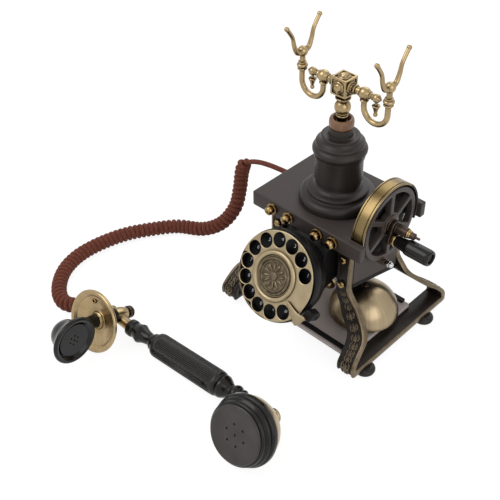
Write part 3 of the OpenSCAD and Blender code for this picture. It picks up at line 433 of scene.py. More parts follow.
class Finishes:
    """Every finish on the telephone."""

    # A recess colour paints shade into a finish's hollows; on the brass and bronze finishes it is partly
    # patina.
    PLATE = Finish(
        "plate_lacquer", "plate", (0.052, 0.041, 0.037), (0.045, 0.035, 0.032), rough=(0.42, 0.5),
        grain=2600.0, mottle=18.0, specular=0.22)
    COLUMN = Finish(
        "column_lacquer", "plate", (0.026, 0.020, 0.017), (0.021, 0.016, 0.014), rough=(0.34, 0.42),
        grain=2600.0, mottle=25.0, specular=0.26)
    CASE = Finish(
        "case_lacquer", "case", (0.070, 0.057, 0.051), (0.060, 0.049, 0.044), rough=(0.5, 0.6), grain=2200.0,
        mottle=16.0, specular=0.22)
    FLOOR_PLATE = Finish(
        "base_lacquer", "base_grey", (0.50, 0.435, 0.41), (0.45, 0.39, 0.37), rough=(0.5, 0.6), grain=2200.0,
        mottle=14.0, specular=0.25)
    BLACK = Finish(
        "satin_black", "black", (0.0065, 0.006, 0.006), (0.009, 0.008, 0.008), rough=(0.3, 0.4), grain=2400.0,
        depth=0.00002, specular=0.12)
    STRIP = Finish(
        "seal_black", "black", (0.008, 0.007, 0.007), (0.012, 0.010, 0.010), rough=(0.5, 0.6), specular=0.15)
    HANDSET = Finish(
        "ebonite", "handset_black", (0.0085, 0.007, 0.0062), (0.014, 0.0115, 0.010), rough=(0.24, 0.34),
        grain=2600.0, mottle=90.0, depth=0.00002, recess=(0.002, 0.002, 0.002), reach=0.0015, specular=0.3)
    GLOSS = Finish(
        "mouthpiece_black", "handset_black", (0.0075, 0.0065, 0.006), (0.011, 0.009, 0.008),
        rough=(0.12, 0.2), grain=2600.0, mottle=90.0, depth=0.00001, specular=0.27)
    CAP = Finish(
        "receiver_cap", "handset_black", (0.026, 0.0215, 0.019), (0.040, 0.034, 0.030), rough=(0.3, 0.38),
        grain=2600.0, mottle=60.0, depth=0.00002, recess=(0.003, 0.003, 0.003), reach=0.0012, specular=0.4)
    BRASS = Finish(
        "aged_brass", "antique_brass", (0.430, 0.320, 0.172), (0.330, 0.242, 0.126), metallic=1.0,
        rough=(0.2, 0.32), mottle=110.0, grain=1500.0, recess=(0.022, 0.014, 0.008), reach=0.006,
        open_range=(0.42, 0.97))
    SCREW = Finish(
        "screw_brass", "antique_brass", (0.400, 0.270, 0.120), (0.290, 0.190, 0.080), metallic=1.0,
        rough=(0.2, 0.3), mottle=200.0, grain=1500.0, recess=(0.06, 0.036, 0.015), reach=0.003,
        open_range=(0.3, 0.8))
    DIAL = Finish(
        "brushed_brass", "dial_brass", (0.430, 0.345, 0.215), (0.330, 0.262, 0.160), metallic=1.0,
        rough=(0.32, 0.42), mottle=70.0, grain=1800.0, stretch=(1.0, 0.25, 1.0), recess=(0.04, 0.026, 0.014),
        reach=0.003, open_range=(0.4, 0.92))
    MEDAL = Finish(
        "medallion_bronze", "dial_brass", (0.230, 0.180, 0.116), (0.100, 0.077, 0.051), metallic=1.0,
        rough=(0.3, 0.44), mottle=240.0, grain=1800.0, recess=(0.008, 0.006, 0.004), reach=0.0022,
        open_range=(0.45, 0.97))
    HOOP = Finish(
        "hoop_brass", "bright_brass", (0.240, 0.172, 0.078), (0.190, 0.134, 0.058), metallic=1.0,
        rough=(0.22, 0.34), mottle=60.0, grain=2200.0, stretch=(3.0, 0.2, 0.2), depth=0.00004)
    GROOVE = Finish(
        "hoop_groove", "dark_brown", (0.012, 0.008, 0.005), (0.018, 0.012, 0.008), rough=(0.4, 0.5),
        specular=0.2)
    # The hoop's rear part in this darker brown is painted shade.
    SHADED_REAR = Finish(
        "hoop_rear_painted_shade", "dark_brown", (0.020, 0.015, 0.013), (0.015, 0.012, 0.010), rough=(0.32, 0.42),
        grain=2200.0, specular=0.25)
    WHEEL = Finish(
        "wheel_lacquer", "spoked", (0.064, 0.050, 0.043), (0.053, 0.042, 0.036), rough=(0.38, 0.48),
        grain=2200.0, recess=(0.016, 0.012, 0.011), reach=0.004, specular=0.24)
    CRANK = Finish(
        "crank_bronze", "dark_brown", (0.082, 0.058, 0.044), (0.048, 0.034, 0.026), metallic=0.85,
        rough=(0.26, 0.38), mottle=180.0, grain=1500.0, recess=(0.014, 0.009, 0.007), reach=0.005)
    FRAME = Finish(
        "frame_bronze", "bronze", (0.020, 0.014, 0.010), (0.013, 0.010, 0.007), metallic=0.3,
        rough=(0.4, 0.55), mottle=180.0, grain=1300.0, recess=(0.007, 0.005, 0.004), reach=0.003,
        open_range=(0.3, 0.85), specular=0.3)
    EDGE = Finish(
        "frame_edge", "bronze", (0.190, 0.145, 0.092), (0.120, 0.090, 0.056), metallic=0.9,
        rough=(0.24, 0.36), mottle=160.0, grain=1500.0, recess=(0.03, 0.021, 0.014), reach=0.003)
    SCROLL = Finish(
        "frame_scrolls", "bronze", (0.190, 0.150, 0.100), (0.080, 0.060, 0.040), metallic=0.85,
        rough=(0.32, 0.5), mottle=420.0, grain=1500.0, recess=(0.012, 0.009, 0.006), reach=0.0015)
    FOOT = Finish(
        "foot_rubber", "rubber", (0.012, 0.010, 0.009), (0.017, 0.014, 0.012), rough=(0.24, 0.32),
        specular=0.28)
    # The gong's shade colour is the dark of its painted reflection bands.
    GONG = SpunBrass(
        "gong_brass", "gong", (0.400, 0.315, 0.195), (0.150, 0.112, 0.068), metallic=1.0, rough=(0.28, 0.33),
        mottle=1.4, grain=3000.0)
    STEEL = Finish(
        "polished_steel", "steel", (0.60, 0.60, 0.60), (0.50, 0.49, 0.48), metallic=1.0, rough=(0.1, 0.2))
    SPRING = Finish(
        "spring_steel", "steel", (0.150, 0.098, 0.072), (0.085, 0.055, 0.041), metallic=1.0, rough=(0.26, 0.4)
    )
    COPPER = Finish(
        "winding", "copper", (0.36, 0.13, 0.05), (0.26, 0.09, 0.035), metallic=0.6, rough=(0.3, 0.4),
        stretch=(1.0, 1.0, 8.0))
    NUMBERS = Finish(
        "number_plate_black", "number_black", (0.004, 0.004, 0.005), (0.006, 0.006, 0.008), rough=(0.3, 0.38),
        grain=500.0, depth=0.00001, specular=0.12)
    INK = Finish("number_white", "number_black", (0.62, 0.66, 0.70), (0.56, 0.60, 0.64), rough=(0.4, 0.5))
    BOARD = Finish("circuit_board", "board", (0.02, 0.10, 0.04), (0.016, 0.08, 0.03), rough=(0.4, 0.5))
    WOOD = TurnedWood(
        "collar_wood", "wood", (0.210, 0.102, 0.047), (0.150, 0.068, 0.030), rough=(0.36, 0.5), coat=0.15)
    # The cord's second colour is the painted shade between its strands.
    CORD = WovenSleeve("cord_braid", "cord", (0.205, 0.055, 0.030), (0.052, 0.0135, 0.0075))


# ---- shapes


def catmull(points: Sequence[Sequence[float]], steps: int) -> list[Vector]:
    """Points on a smooth curve through the given ones.

    Args:
        points: Points in two or three dimensions.
        steps: Pieces between each two of them.

    Returns:
        The curve's points, ends included.
    """
    given = [Vector(p) for p in points]
    out: list[Vector] = []
    for i in range(len(given) - 1):
        a, b = given[max(i - 1, 0)], given[i]
        c, d = given[i + 1], given[min(i + 2, len(given) - 1)]
        for k in range(steps):
            t = k / steps
            out.append(0.5 * (
                2 * b + (c - a) * t + (2 * a - 5 * b + 4 * c - d) * t * t + (3 * b - a - 3 * c + d) * t**3))
    out.append(given[-1])
    return out


def lengths_along(points: Sequence[Vector]) -> list[float]:
    """Distance travelled at each point of a line."""
    return list(accumulate(((b - a).length for a, b in zip(points, points[1:])), initial=0.0))


def resampled(points: Sequence[Vector], step: float) -> list[Vector]:
    """Points at even distances along a line of points.

    Args:
        points: Points of the line.
        step: Distance aimed at.

    Returns:
        The new points, ends included.
    """
    lengths = lengths_along(points)
    count = max(2, round(lengths[-1] / step))
    out, i = [], 0
    for k in range(count + 1):
        s = lengths[-1] * k / count
        while i < len(points) - 2 and lengths[i + 1] < s:
            i += 1
        span = lengths[i + 1] - lengths[i]
        out.append(points[i].lerp(points[i + 1], (s - lengths[i]) / span if span > 1e-9 else 0.0))
    return out


def softened(points: Sequence[Pair], radius: float, closed: bool = False, steps: int = 3) -> list[Pair]:
    """A profile with its corners rounded off.

    Args:
        points: Corners of the profile.
        radius: Distance from a corner at which its rounding starts.
        closed: Whether the last corner joins the first.
        steps: Pieces of each rounding.

    Returns:
        The new profile.
    """
    corners = [Vector(p) for p in points]
    count = len(corners)
    out: list[Pair] = []
    for i, corner in enumerate(corners):
        if not closed and i in (0, count - 1):
            out.append(tuple(corner))
            continue
        before, after = corners[i - 1] - corner, corners[(i + 1) % count] - corner
        if before.length < 1e-6 or after.length < 1e-6 or before.angle(after) > radians(172):
            out.append(tuple(corner))
            continue
        start = corner + before.normalized() * min(radius, before.length * 0.45)
        end = corner + after.normalized() * min(radius, after.length * 0.45)
        for k in range(steps + 1):
            t = k / steps
            out.append(tuple(start.lerp(corner, t).lerp(corner.lerp(end, t), t)))
    return out


def placed(name: str, data: ID) -> Object:
    """A new object in the scene.

    Args:
        name: Name of the object.
        data: Its mesh, curve, light or camera.

    Returns:
        The object.
    """
    obj = bpy.data.objects.new(name, data)
    bpy.context.scene.collection.objects.link(obj)
    return obj


def evaluated(obj: Object) -> Mesh:
    """An object's mesh with its modifiers applied."""
    depsgraph = bpy.context.evaluated_depsgraph_get()
    return bpy.data.meshes.new_from_object(obj.evaluated_get(depsgraph))


def drilled(piece: Object, cutter: Object) -> None:
    """Cuts one closed shape out of a piece.

    Args:
        piece: The piece, whose mesh is replaced.
        cutter: The shape that is taken away; it is removed.
    """
    cut = piece.modifiers.new("cut", "BOOLEAN")
    cut.operation, cut.solver, cut.object = "DIFFERENCE", "EXACT", cutter
    mesh = evaluated(piece)
    piece.modifiers.remove(cut)
    piece.data = mesh
    bpy.data.objects.remove(cutter)


def walls(rings: int, sides: int, capped: bool = False) -> Faces:
    """Four-sided faces between closed rings of points, numbered ring by ring.

    Args:
        rings: Number of rings.
        sides: Points of each ring.
        capped: Whether the first and the last ring are closed by a face each.

    Returns:
        The point numbers of each face.
    """
    faces: Faces = []
    for i in range(rings - 1):
        low, high = i * sides, (i + 1) * sides
        faces += [(low + k, low + (k + 1) % sides, high + (k + 1) % sides, high + k) for k in range(sides)]
    if capped:
        faces += [range(sides), range((rings - 1) * sides, rings * sides)]
    return faces


def finished(
    name: str, verts: Sequence[Sequence[float]], faces: Sequence[Sequence[int]], place: Matrix,
    finish: Finish, sharp: float = 40.0,
) -> Object:
    """A piece from points in millimetres and its faces.

    Args:
        name: Name of the piece.
        verts: Points in the piece's own frame, in millimetres.
        faces: Point numbers of each face.
        place: Frame of the piece on the telephone, in millimetres.
        finish: Surface of the piece.
        sharp: Angle in degrees above which an edge stays sharp.

    Returns:
        The object, at the origin with its place in its mesh.
    """
    mesh = bpy.data.meshes.new(name)
    mesh.from_pydata([place @ Vector(v) * MM for v in verts], [], faces)
    work = bmesh.new()
    work.from_mesh(mesh)
    bmesh.ops.remove_doubles(work, verts=work.verts, dist=1e-7)
    bmesh.ops.recalc_face_normals(work, faces=work.faces)
    work.to_mesh(mesh)
    work.free()
    return shown(name, mesh, finish, sharp)


def shown(name: str, mesh: Mesh, finish: Finish, sharp: float = 40.0) -> Object:
    """An object with a mesh, shaded and painted.

    Args:
        name: Name of the piece.
        mesh: Its mesh.
        finish: Surface of the piece.
        sharp: Angle in degrees above which an edge stays sharp.

    Returns:
        The object.
    """
    mesh.shade_smooth()
    mesh.set_sharp_from_angle(angle=radians(sharp))
    mesh.materials.clear()
    mesh.materials.append(finish.material())
    obj = placed(name, mesh)
    obj["finish_slot"] = finish.slot
    return obj


def revolved(
    name: str, profile: Sequence[Pair], place: Matrix, finish: Finish, steps: int = 72, sharp: float = 40.0,
    round_by: float = 0.0,
) -> Object:
    """A turned piece.

    Args:
        name: Name of the piece.
        profile: Radius and height of each point. One that is clear of the axis at both ends is a ring.
        place: Frame whose Z is the axis.
        finish: Surface of the piece.
        steps: Sides of the turned piece.
        sharp: Angle in degrees above which an edge stays sharp.
        round_by: Rounding of the profile's corners.

    Returns:
        The piece.
    """
    closed = min(profile[0][0], profile[-1][0]) > 1e-6
    if round_by:
        profile = softened(profile, round_by, closed)
    verts: list[Triple] = []
    rings: list[list[int]] = []
    for r, z in profile:
        if r < 1e-6:
            rings.append([len(verts)] * steps)
            verts.append((0.0, 0.0, z))
            continue
        rings.append(list(range(len(verts), len(verts) + steps)))
        verts.extend((r * cos(TURN * k / steps), r * sin(TURN * k / steps), z) for k in range(steps))
    faces = []
    pairs = list(zip(rings, rings[1:])) + ([(rings[-1], rings[0])] if closed else [])
    for low, high in pairs:
        for k in range(steps):
            n = (k + 1) % steps
            face = list(dict.fromkeys((low[k], low[n], high[n], high[k])))
            if len(face) > 2:
                faces.append(face)
    return finished(name, verts, faces, place, finish, sharp)


def frames_along(path: Sequence[Vector], side: Vector) -> list[tuple[Vector, Vector]]:
    """Two directions across a path at each of its points, turned as little as possible along it.

    Args:
        path: Points of the path.
        side: A direction that isn't along its start.

    Returns:
        Two directions for each point.
    """
    out = []
    for i in range(len(path)):
        along = (path[min(i + 1, len(path) - 1)] - path[max(i - 1, 0)]).normalized()
        side = (side - along * side.dot(along)).normalized()
        out.append((side, along.cross(side)))
    return out


def ring_points(centre: Vector, radius: float, pair: tuple[Vector, Vector], sides: int) -> list[Vector]:
    """Points round a centre, in the plane of two directions."""
    angles = [TURN * k / sides for k in range(sides)]
    return [centre + radius * (cos(a) * pair[0] + sin(a) * pair[1]) for a in angles]


def swept(
    name: str, path: Sequence[Vector], radius: float | Sequence[float], place: Matrix, finish: Finish,
    sides: int = 20, side: Triple = (0.0, 0.0, 1.0), dome: bool = True,
) -> Object:
    """A round bar or tube along a path.

    Args:
        name: Name of the piece.
        path: Points of its middle line, in millimetres.
        radius: One radius, or one for each point.
        place: Frame of the path.
        finish: Surface of the piece.
        sides: Sides of its section.
        side: A direction that isn't along the path's start.
        dome: Whether its ends are rounded.

    Returns:
        The piece.
    """
    points = [Vector(p) for p in path]
    radii = [radius] * len(points) if isinstance(radius, (int, float)) else list(radius)
    across = frames_along(points, Vector(side))
    ends = (0.97, 0.8, 0.5, 0.2) if dome else ()
    back = (points[0] - points[1]).normalized() * radii[0]
    ahead = (points[-1] - points[-2]).normalized() * radii[-1]
    rings = [
        (points[0] + back * sqrt(1 - share**2) * 0.9, radii[0] * share, across[0]) for share in reversed(ends)
    ]
    rings += zip(points, radii, across)
    rings += [
        (points[-1] + ahead * sqrt(1 - share**2) * 0.9, radii[-1] * share, across[-1]) for share in ends]
    verts = [point for ring in rings for point in ring_points(*ring, sides)]
    return finished(name, verts, walls(len(rings), sides, capped=True), place, finish, 50.0)


def inset(loop: Sequence[Pair], by: float) -> list[Pair]:
    """A closed outline moved to the left of its direction of travel.

    Args:
        loop: Points of the outline.
        by: Distance to move it.

    Returns:
        The moved outline.
    """
    out = []
    for i, point in enumerate(loop):
        before = (Vector(point) - Vector(loop[i - 1])).normalized()
        after = (Vector(loop[(i + 1) % len(loop)]) - Vector(point)).normalized()
        left, right = Vector((-before.y, before.x)), Vector((-after.y, after.x))
        out.append(tuple(Vector(point) + (left + right) * by / max(1.0 + left.dot(right), 0.4)))
    return out


def directed(loop: Sequence[Pair], sign: float) -> list[Pair]:
    """An outline that runs anticlockwise for a sign of 1, and clockwise for -1."""
    area = sum(a[0] * b[1] - b[0] * a[1] for a, b in zip(loop, [*loop[1:], loop[0]]))
    return list(loop) if area * sign > 0 else list(reversed(loop))


def cut_sheet(
    name: str, outline: Sequence[Pair], holes: Sequence[Sequence[Pair]], thickness: float, place: Matrix,
    finish: Finish, bevel: float = 0.4, steps: int = 3,
) -> Object:
    """A flat piece with holes and rounded edges, its lower face at Z 0.

    Args:
        name: Name of the piece.
        outline: Outer edge.
        holes: Edges of the holes.
        thickness: Height of the piece.
        place: Frame of the piece.
        finish: Surface of the piece.
        bevel: Rounding of its edges.
        steps: Pieces of each rounding.

    Returns:
        The piece.
    """
    loops = [directed(outline, 1.0), *(directed(hole, -1.0) for hole in holes)]
    angles = [pi / 2 * k / steps for k in range(steps + 1)]
    levels = [(bevel * (1 - sin(a)), bevel * (1 - cos(a))) for a in angles]
    levels += [(by, thickness - z) for by, z in reversed(levels)]
    verts: list[Triple] = []
    rings: list[list[list[int]]] = []
    for by, z in levels:
        rings.append([])
        for loop in loops:
            rings[-1].append(list(range(len(verts), len(verts) + len(loop))))
            verts.extend((x, y, z) for x, y in inset(loop, by))
    faces: Faces = []
    for low, high in zip(rings, rings[1:]):
        for first, second in zip(low, high):
            count = len(first)
            faces += [
                (first[k], first[(k + 1) % count], second[(k + 1) % count], second[k]) for k in range(count)]
    for level in (rings[0], rings[-1]):
        numbers = [n for ring in level for n in ring]
        for triangle in tessellate_polygon([[Vector(verts[n]) for n in ring] for ring in level]):
            faces.append([numbers[k] for k in triangle])
    obj = finished(name, verts, faces, place, finish)
    normal = (place.to_3x3() @ Vector((0.0, 0.0, 1.0))).normalized()
    for polygon in obj.data.polygons:
        polygon.use_smooth = abs(polygon.normal.dot(normal)) < 0.9999
    return obj


def circle(radius: float, x: float = 0.0, y: float = 0.0, steps: int = 96) -> list[Pair]:
    """Points round a circle."""
    return [(x + radius * cos(TURN * k / steps), y + radius * sin(TURN * k / steps)) for k in range(steps)]


def joined(name: str, parts: Sequence[Object]) -> Object:
    """One piece from several that were made apart, with their finishes kept.

    Args:
        name: Name of the new piece.
        parts: The pieces, which are removed.

    Returns:
        The new piece.
    """
    work = bmesh.new()
    materials: list[Material] = []
    for part in parts:
        first = len(work.faces)
        work.from_mesh(part.data)
        work.faces.ensure_lookup_table()
        for material in part.data.materials:
            if material not in materials:
                materials.append(material)
        index = materials.index(part.data.materials[0])
        for face in work.faces[first:]:
            face.material_index = index
    mesh = bpy.data.meshes.new(name)
    work.to_mesh(mesh)
    work.free()
    slot = parts[0]["finish_slot"]
    for part in parts:
        bpy.data.objects.remove(part)
    mesh.shade_smooth()
    mesh.set_sharp_from_angle(angle=radians(40))
    for material in materials:
        mesh.materials.append(material)
    obj = placed(name, mesh)
    obj["finish_slot"] = slot
    return obj


class Scatter:
    """Geometry Nodes: a copy of one small piece on each of many points, each with its own turn and size."""

    def __init__(self, label: str) -> None:
        """Builds the node tree.

        Args:
            label: Name of the tree.
        """
        tree = bpy.data.node_groups.new(label, "GeometryNodeTree")
        face = tree.interface
        face.new_socket("Geometry", in_out="OUTPUT", socket_type="NodeSocketGeometry")
        face.new_socket("Geometry", in_out="INPUT", socket_type="NodeSocketGeometry")
        kinds = {"Piece": "NodeSocketObject", "Finish": "NodeSocketMaterial", "Size": "NodeSocketFloat"}
        self.sockets = {
            name: face.new_socket(name, in_out="INPUT", socket_type=kind).identifier
            for name, kind in kinds.items()
        }

        def added(kind: str, inputs: Inputs) -> Node:
            """A new node with its inputs filled."""
            return filled(tree, tree.nodes.new(kind), inputs)

        given = added("NodeGroupInput", {}).outputs
        info = added("GeometryNodeObjectInfo", {"Object": given["Piece"]})
        turn = added("GeometryNodeInputNamedAttribute", {"Name": "turn"})
        turn.data_type = "FLOAT_VECTOR"
        size = added("GeometryNodeInputNamedAttribute", {"Name": "size"})
        size.data_type = "FLOAT"
        times = added("ShaderNodeMath", {0: size.outputs["Attribute"], 1: given["Size"]})
        times.operation = "MULTIPLY"
        copies = added("GeometryNodeInstanceOnPoints", {
            "Points": given["Geometry"], "Instance": info.outputs["Geometry"],
            "Rotation": turn.outputs["Attribute"], "Scale": times.outputs[0],
        })
        real = added("GeometryNodeRealizeInstances", {"Geometry": copies.outputs["Instances"]})
        paint = added(
            "GeometryNodeSetMaterial", {"Geometry": real.outputs["Geometry"], "Material": given["Finish"]})
        added("NodeGroupOutput", {"Geometry": paint.outputs["Geometry"]})
        self.tree = tree

    def made(
        self, name: str, piece: Object, places: Sequence[Matrix], finish: Finish,
        sizes: Optional[Sequence[float]] = None,
    ) -> Object:
        """The copies as one plain mesh.

        Args:
            name: Name of the new piece.
            piece: The small piece, built at the origin in metres; it is deleted.
            places: Frame of each copy, in millimetres.
            finish: Surface of the copies.
            sizes: Size of each copy, or 1.

        Returns:
            The new piece.
        """
        mesh = bpy.data.meshes.new(name + "_points")
        mesh.from_pydata([m.to_translation() * MM for m in places], [], [])
        for label, kind in (("turn", "FLOAT_VECTOR"), ("size", "FLOAT")):
            mesh.attributes.new(label, kind, "POINT")
        for i, place in enumerate(places):
            mesh.attributes["turn"].data[i].vector = place.to_euler()
            mesh.attributes["size"].data[i].value = sizes[i] if sizes else 1.0
        holder = placed(name + "_holder", mesh)
        modifier = holder.modifiers.new("copies", "NODES")
        modifier.node_group = self.tree
        modifier[self.sockets["Piece"]] = piece
        modifier[self.sockets["Finish"]] = finish.material()
        modifier[self.sockets["Size"]] = 1.0
        bpy.context.view_layer.update()
        done = evaluated(holder)
        done.name = name
        for attribute in ("turn", "size"):
            if attribute in done.attributes:
                done.attributes.remove(done.attributes[attribute])
        bpy.data.objects.remove(holder)
        bpy.data.objects.remove(piece)
        return shown(name, done, finish)


SCATTER = Scatter("copies_on_points")


def slotted(obj: Object) -> None:
    """Takes the name of its finish's slot off a piece."""
    del obj["finish_slot"]


def carried(obj: Object, body: Body, replaced: Sequence[str] = ()) -> None:
    """Makes a piece ride on a body, and stand for construction nodes.

    Args:
        obj: The piece.
        body: The body that carries it.
        replaced: Nodes that it stands for.
    """
    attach(obj, body.value)
    slotted(obj)
    if replaced:
        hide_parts(*replaced)
    LOG.info("%s on %s, %d faces", obj.name, body.value, len(obj.data.polygons))


def painted(node: str, finish: Finish) -> None:
    """Gives a construction node its finish.

    Args:
        node: Name of the node.
        finish: Its surface.
    """
    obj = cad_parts[node]
    if not obj.material_slots:
        obj.data.materials.append(finish.material())
    for slot in obj.material_slots:
        slot.material = finish.material()


# ---- small shared pieces


def arc(x: float, z: float, radius: float, start: float, end: float, steps: int = 10) -> list[Pair]:
    """Points on a circle's arc, with angles in degrees."""
    angles = [radians(start + (end - start) * k / steps) for k in range(steps + 1)]
    return [(x + radius * cos(a), z + radius * sin(a)) for a in angles]


def box_outline(half_w: float, half_d: float, radius: float = 0.0, steps: int = 6) -> list[Pair]:
    """A rectangle with rounded corners.

    Args:
        half_w: Half its width.
        half_d: Half its depth.
        radius: Radius of its corners.
        steps: Pieces of each corner.

    Returns:
        The outline.
    """
    if not radius:
        return [(-half_w, -half_d), (half_w, -half_d), (half_w, half_d), (-half_w, half_d)]
    out: list[Pair] = []
    for x, y, start in ((1, -1, -90), (1, 1, 0), (-1, 1, 90), (-1, -1, 180)):
        out += arc(x * (half_w - radius), y * (half_d - radius), radius, start, start + 90, steps)
    return out


def slotted_head(radius: float, height: float, slot: float, finish: Finish) -> Object:
    """A domed screw head with a slot across it, at the origin with its seat at Z 0.

    Args:
        radius: Radius of the head.
        height: Height of the head.
        slot: Width of the slot.
        finish: Surface of the piece.

    Returns:
        The head.
    """
    verts: list[Triple] = []
    for share, z in ((1.0, 0.0), (0.98, 0.35), (0.9, 0.65), (0.72, 0.88), (0.45, 1.0)):
        r = radius * share
        start = asin(min(0.9, slot / 2 / r))
        angles = [start + (pi - 2 * start) * k / 16 for k in range(17)]
        verts += [(r * cos(a), r * sin(a), height * z) for a in angles]
    faces = [range(17), range(len(verts) - 17, len(verts)), *walls(len(verts) // 17, 17)]
    halves = [finished("half_head", verts, faces, turned(turn, "Z"), finish) for turn in (0.0, pi)]
    floor = revolved("head_floor", [
        (0, 0), (radius * 0.96, 0), (radius * 0.88, height * 0.6), (0, height * 0.72)
    ], AT_ORIGIN, finish, steps=32)
    return joined("slotted_head", [*halves, floor])


def hex_nut(name: str, radius: float, height: float, place: Matrix, finish: Finish) -> Object:
    """A six sided nut with chamfered corners."""
    outline = softened(circle(radius, steps=6), 0.3, closed=True)
    return cut_sheet(name, outline, [], height, place, finish, bevel=0.35)


def toothed(radius: float, depth: float, teeth: int) -> list[Pair]:
    """The outline of a knurled disc.

    Args:
        radius: Radius over the teeth.
        depth: Depth of the grooves.
        teeth: Number of teeth.

    Returns:
        The outline.
    """
    out = []
    for k in range(teeth):
        for share, r in ((0.0, radius - depth), (0.3, radius), (0.6, radius)):
            a = TURN * (k + share) / teeth
            out.append((r * cos(a), r * sin(a)))
    return out


def helix(
    start: Vector, end: Vector, radius: float, turns: float, side: Vector, per_turn: int = 20
) -> list[Vector]:
    """Points on a coil spring round a straight line.

    Args:
        start: Start of the line.
        end: End of the line.
        radius: Radius of the coil.
        turns: Number of turns.
        side: A direction across the line.
        per_turn: Points of each turn.

    Returns:
        The coil's points.
    """
    along = (end - start).normalized()
    across = along.cross(side).normalized()
    count = int(turns * per_turn)
    return [
        start.lerp(end, k / count)
        + radius * (cos(TURN * k / per_turn) * side + sin(TURN * k / per_turn) * across)
        for k in range(count + 1)
    ]


# ---- base


@dataclass(frozen=True)
class PlateAndColumn:
    """Top plate, turned column and wooden collar."""

    bevel: float = 1.3
    flange_r: float = 36.0
    shaft_r: float = 22.4
    column_h: float = 74.0
    collar_h: float = 13.0
    cup_depth: float = 7.0

    def build(self) -> None:
        """Makes the three pieces."""
        half_w, half_d, notch = SIZES.plate_w / 2, SIZES.plate_d / 2, SIZES.notch_y
        outline = softened([
            (-half_w, -half_d), (half_w, -half_d), (half_w, -notch), (SIZES.notch_x, -notch),
            (SIZES.notch_x, notch), (half_w, notch), (half_w, half_d), (-half_w, half_d)], 1.2, closed=True)
        place = AT_PLATE @ up(-SIZES.plate_t)
        plate = cut_sheet("plate", outline, [], SIZES.plate_t, place, Finishes.PLATE, self.bevel, 4)
        carried(plate, Body.BASE, ["top_plate"])
        column = revolved("turned_column", self.profile(), AT_COLUMN, Finishes.COLUMN, steps=128)
        carried(column, Body.BASE, ["column"])
        top, cup = self.collar_h, self.collar_h - self.cup_depth
        profile = softened([
            (0, 3.5), (10.0, 3.5), (10.9, 4.2), (11.3, 5.8), (11.3, top - 3.2), (10.6, top - 0.8), (9.4, top),
            (7.9, top - 0.4), (7.4, top - 2), (7.3, cup + 0.2), (0, cup)], 0.9)
        place = AT_COLUMN @ up(self.column_h)
        collar = revolved("turned_collar", profile, place, Finishes.WOOD, steps=96)
        carried(collar, Body.BASE, ["wood_collar"])

    def profile(self) -> list[Pair]:
        """Radius against height of the column, from the plate up.

        Returns:
            The profile.
        """
        flange, shaft, top = self.flange_r, self.shaft_r, self.column_h
        points: list[Pair] = [(0, 0), (flange - 0.4, 0), (flange, 0.5), (flange, 4.4)]
        points += arc(flange - 5.6, 4.4, 5.6, 8, 82, 8)
        points += [(flange - 6.4, 10.2), (flange - 6.8, 10.8), (28.9, 10.9)]
        points += softened([(28.9, 10.9), (28.9, 14.4), (26.0, 15.4)], 0.9)[1:]
        points += arc(26.4, 21.4, 6.0, 260, 205, 8)[1:]
        points += [
            (shaft - 0.9, 22.4), (shaft - 1.0, 24.2), (shaft, 25.0), (shaft, 28), (shaft - 0.5, top - 27.4)]
        points += [(shaft - 0.2, top - 26.4), (shaft + 0.9, top - 26.0), (shaft + 1.0, top - 24.8)]
        points += arc(shaft - 1.2, top - 18.6, 4.0, -48, 52, 12)
        points += [(shaft + 0.9, top - 14.9), (shaft + 0.2, top - 14.5), (shaft - 0.2, top - 13.8)]
        points += arc(shaft - 2.0, top - 12.3, 2.2, -28, 62, 7)
        points += [(19.5, top - 9.6), (18.3, top - 7.9), (17.8, top - 6.8)]
        points += arc(16.6, top - 5.4, 1.3, -40, 80, 6)
        points += [
            (14.2, top - 4.3), (12.3, top - 4.7), (11.3, top - 4.2), (10.9, top - 3.0), (10.9, top + 3.6),
            (0, top + 3.6)]
        return points


@dataclass(frozen=True)
class BodyCase:
    """The body's painted case with the dark strip along its lower edge."""

    strip_h: float = 4.2
    strip_out: float = 0.35
    low_front: float = 72.0
    low_back: float = 54.0

    def low_at(self, y: float) -> float:
        """Height of the case's lower edge at depth y."""
        return self.low_front + (self.low_back - self.low_front) / SIZES.body_d * (y + SIZES.body_d / 2)

    def build(self) -> None:
        """Paints the case and makes its strip."""
        painted("body_case", Finishes.CASE)
        outline = box_outline(SIZES.body_w / 2 + self.strip_out, SIZES.body_d / 2 + self.strip_out, 0.8, 3)
        inner = box_outline(SIZES.body_w / 2 - 2.0, SIZES.body_d / 2 - 2.0, 0.8, 3)
        verts: list[Triple] = []
        for loop, lifts in ((outline, (0.0, self.strip_h)), (inner, (self.strip_h, 0.0))):
            for lift in lifts:
                verts.extend((x, y, self.low_at(y) + lift) for x, y in loop)
        count = len(outline)
        faces = [[n % len(verts) for n in face] for face in walls(5, count)]
        carried(finished("case_strip", verts, faces, AT_BASE, Finishes.STRIP), Body.BASE)


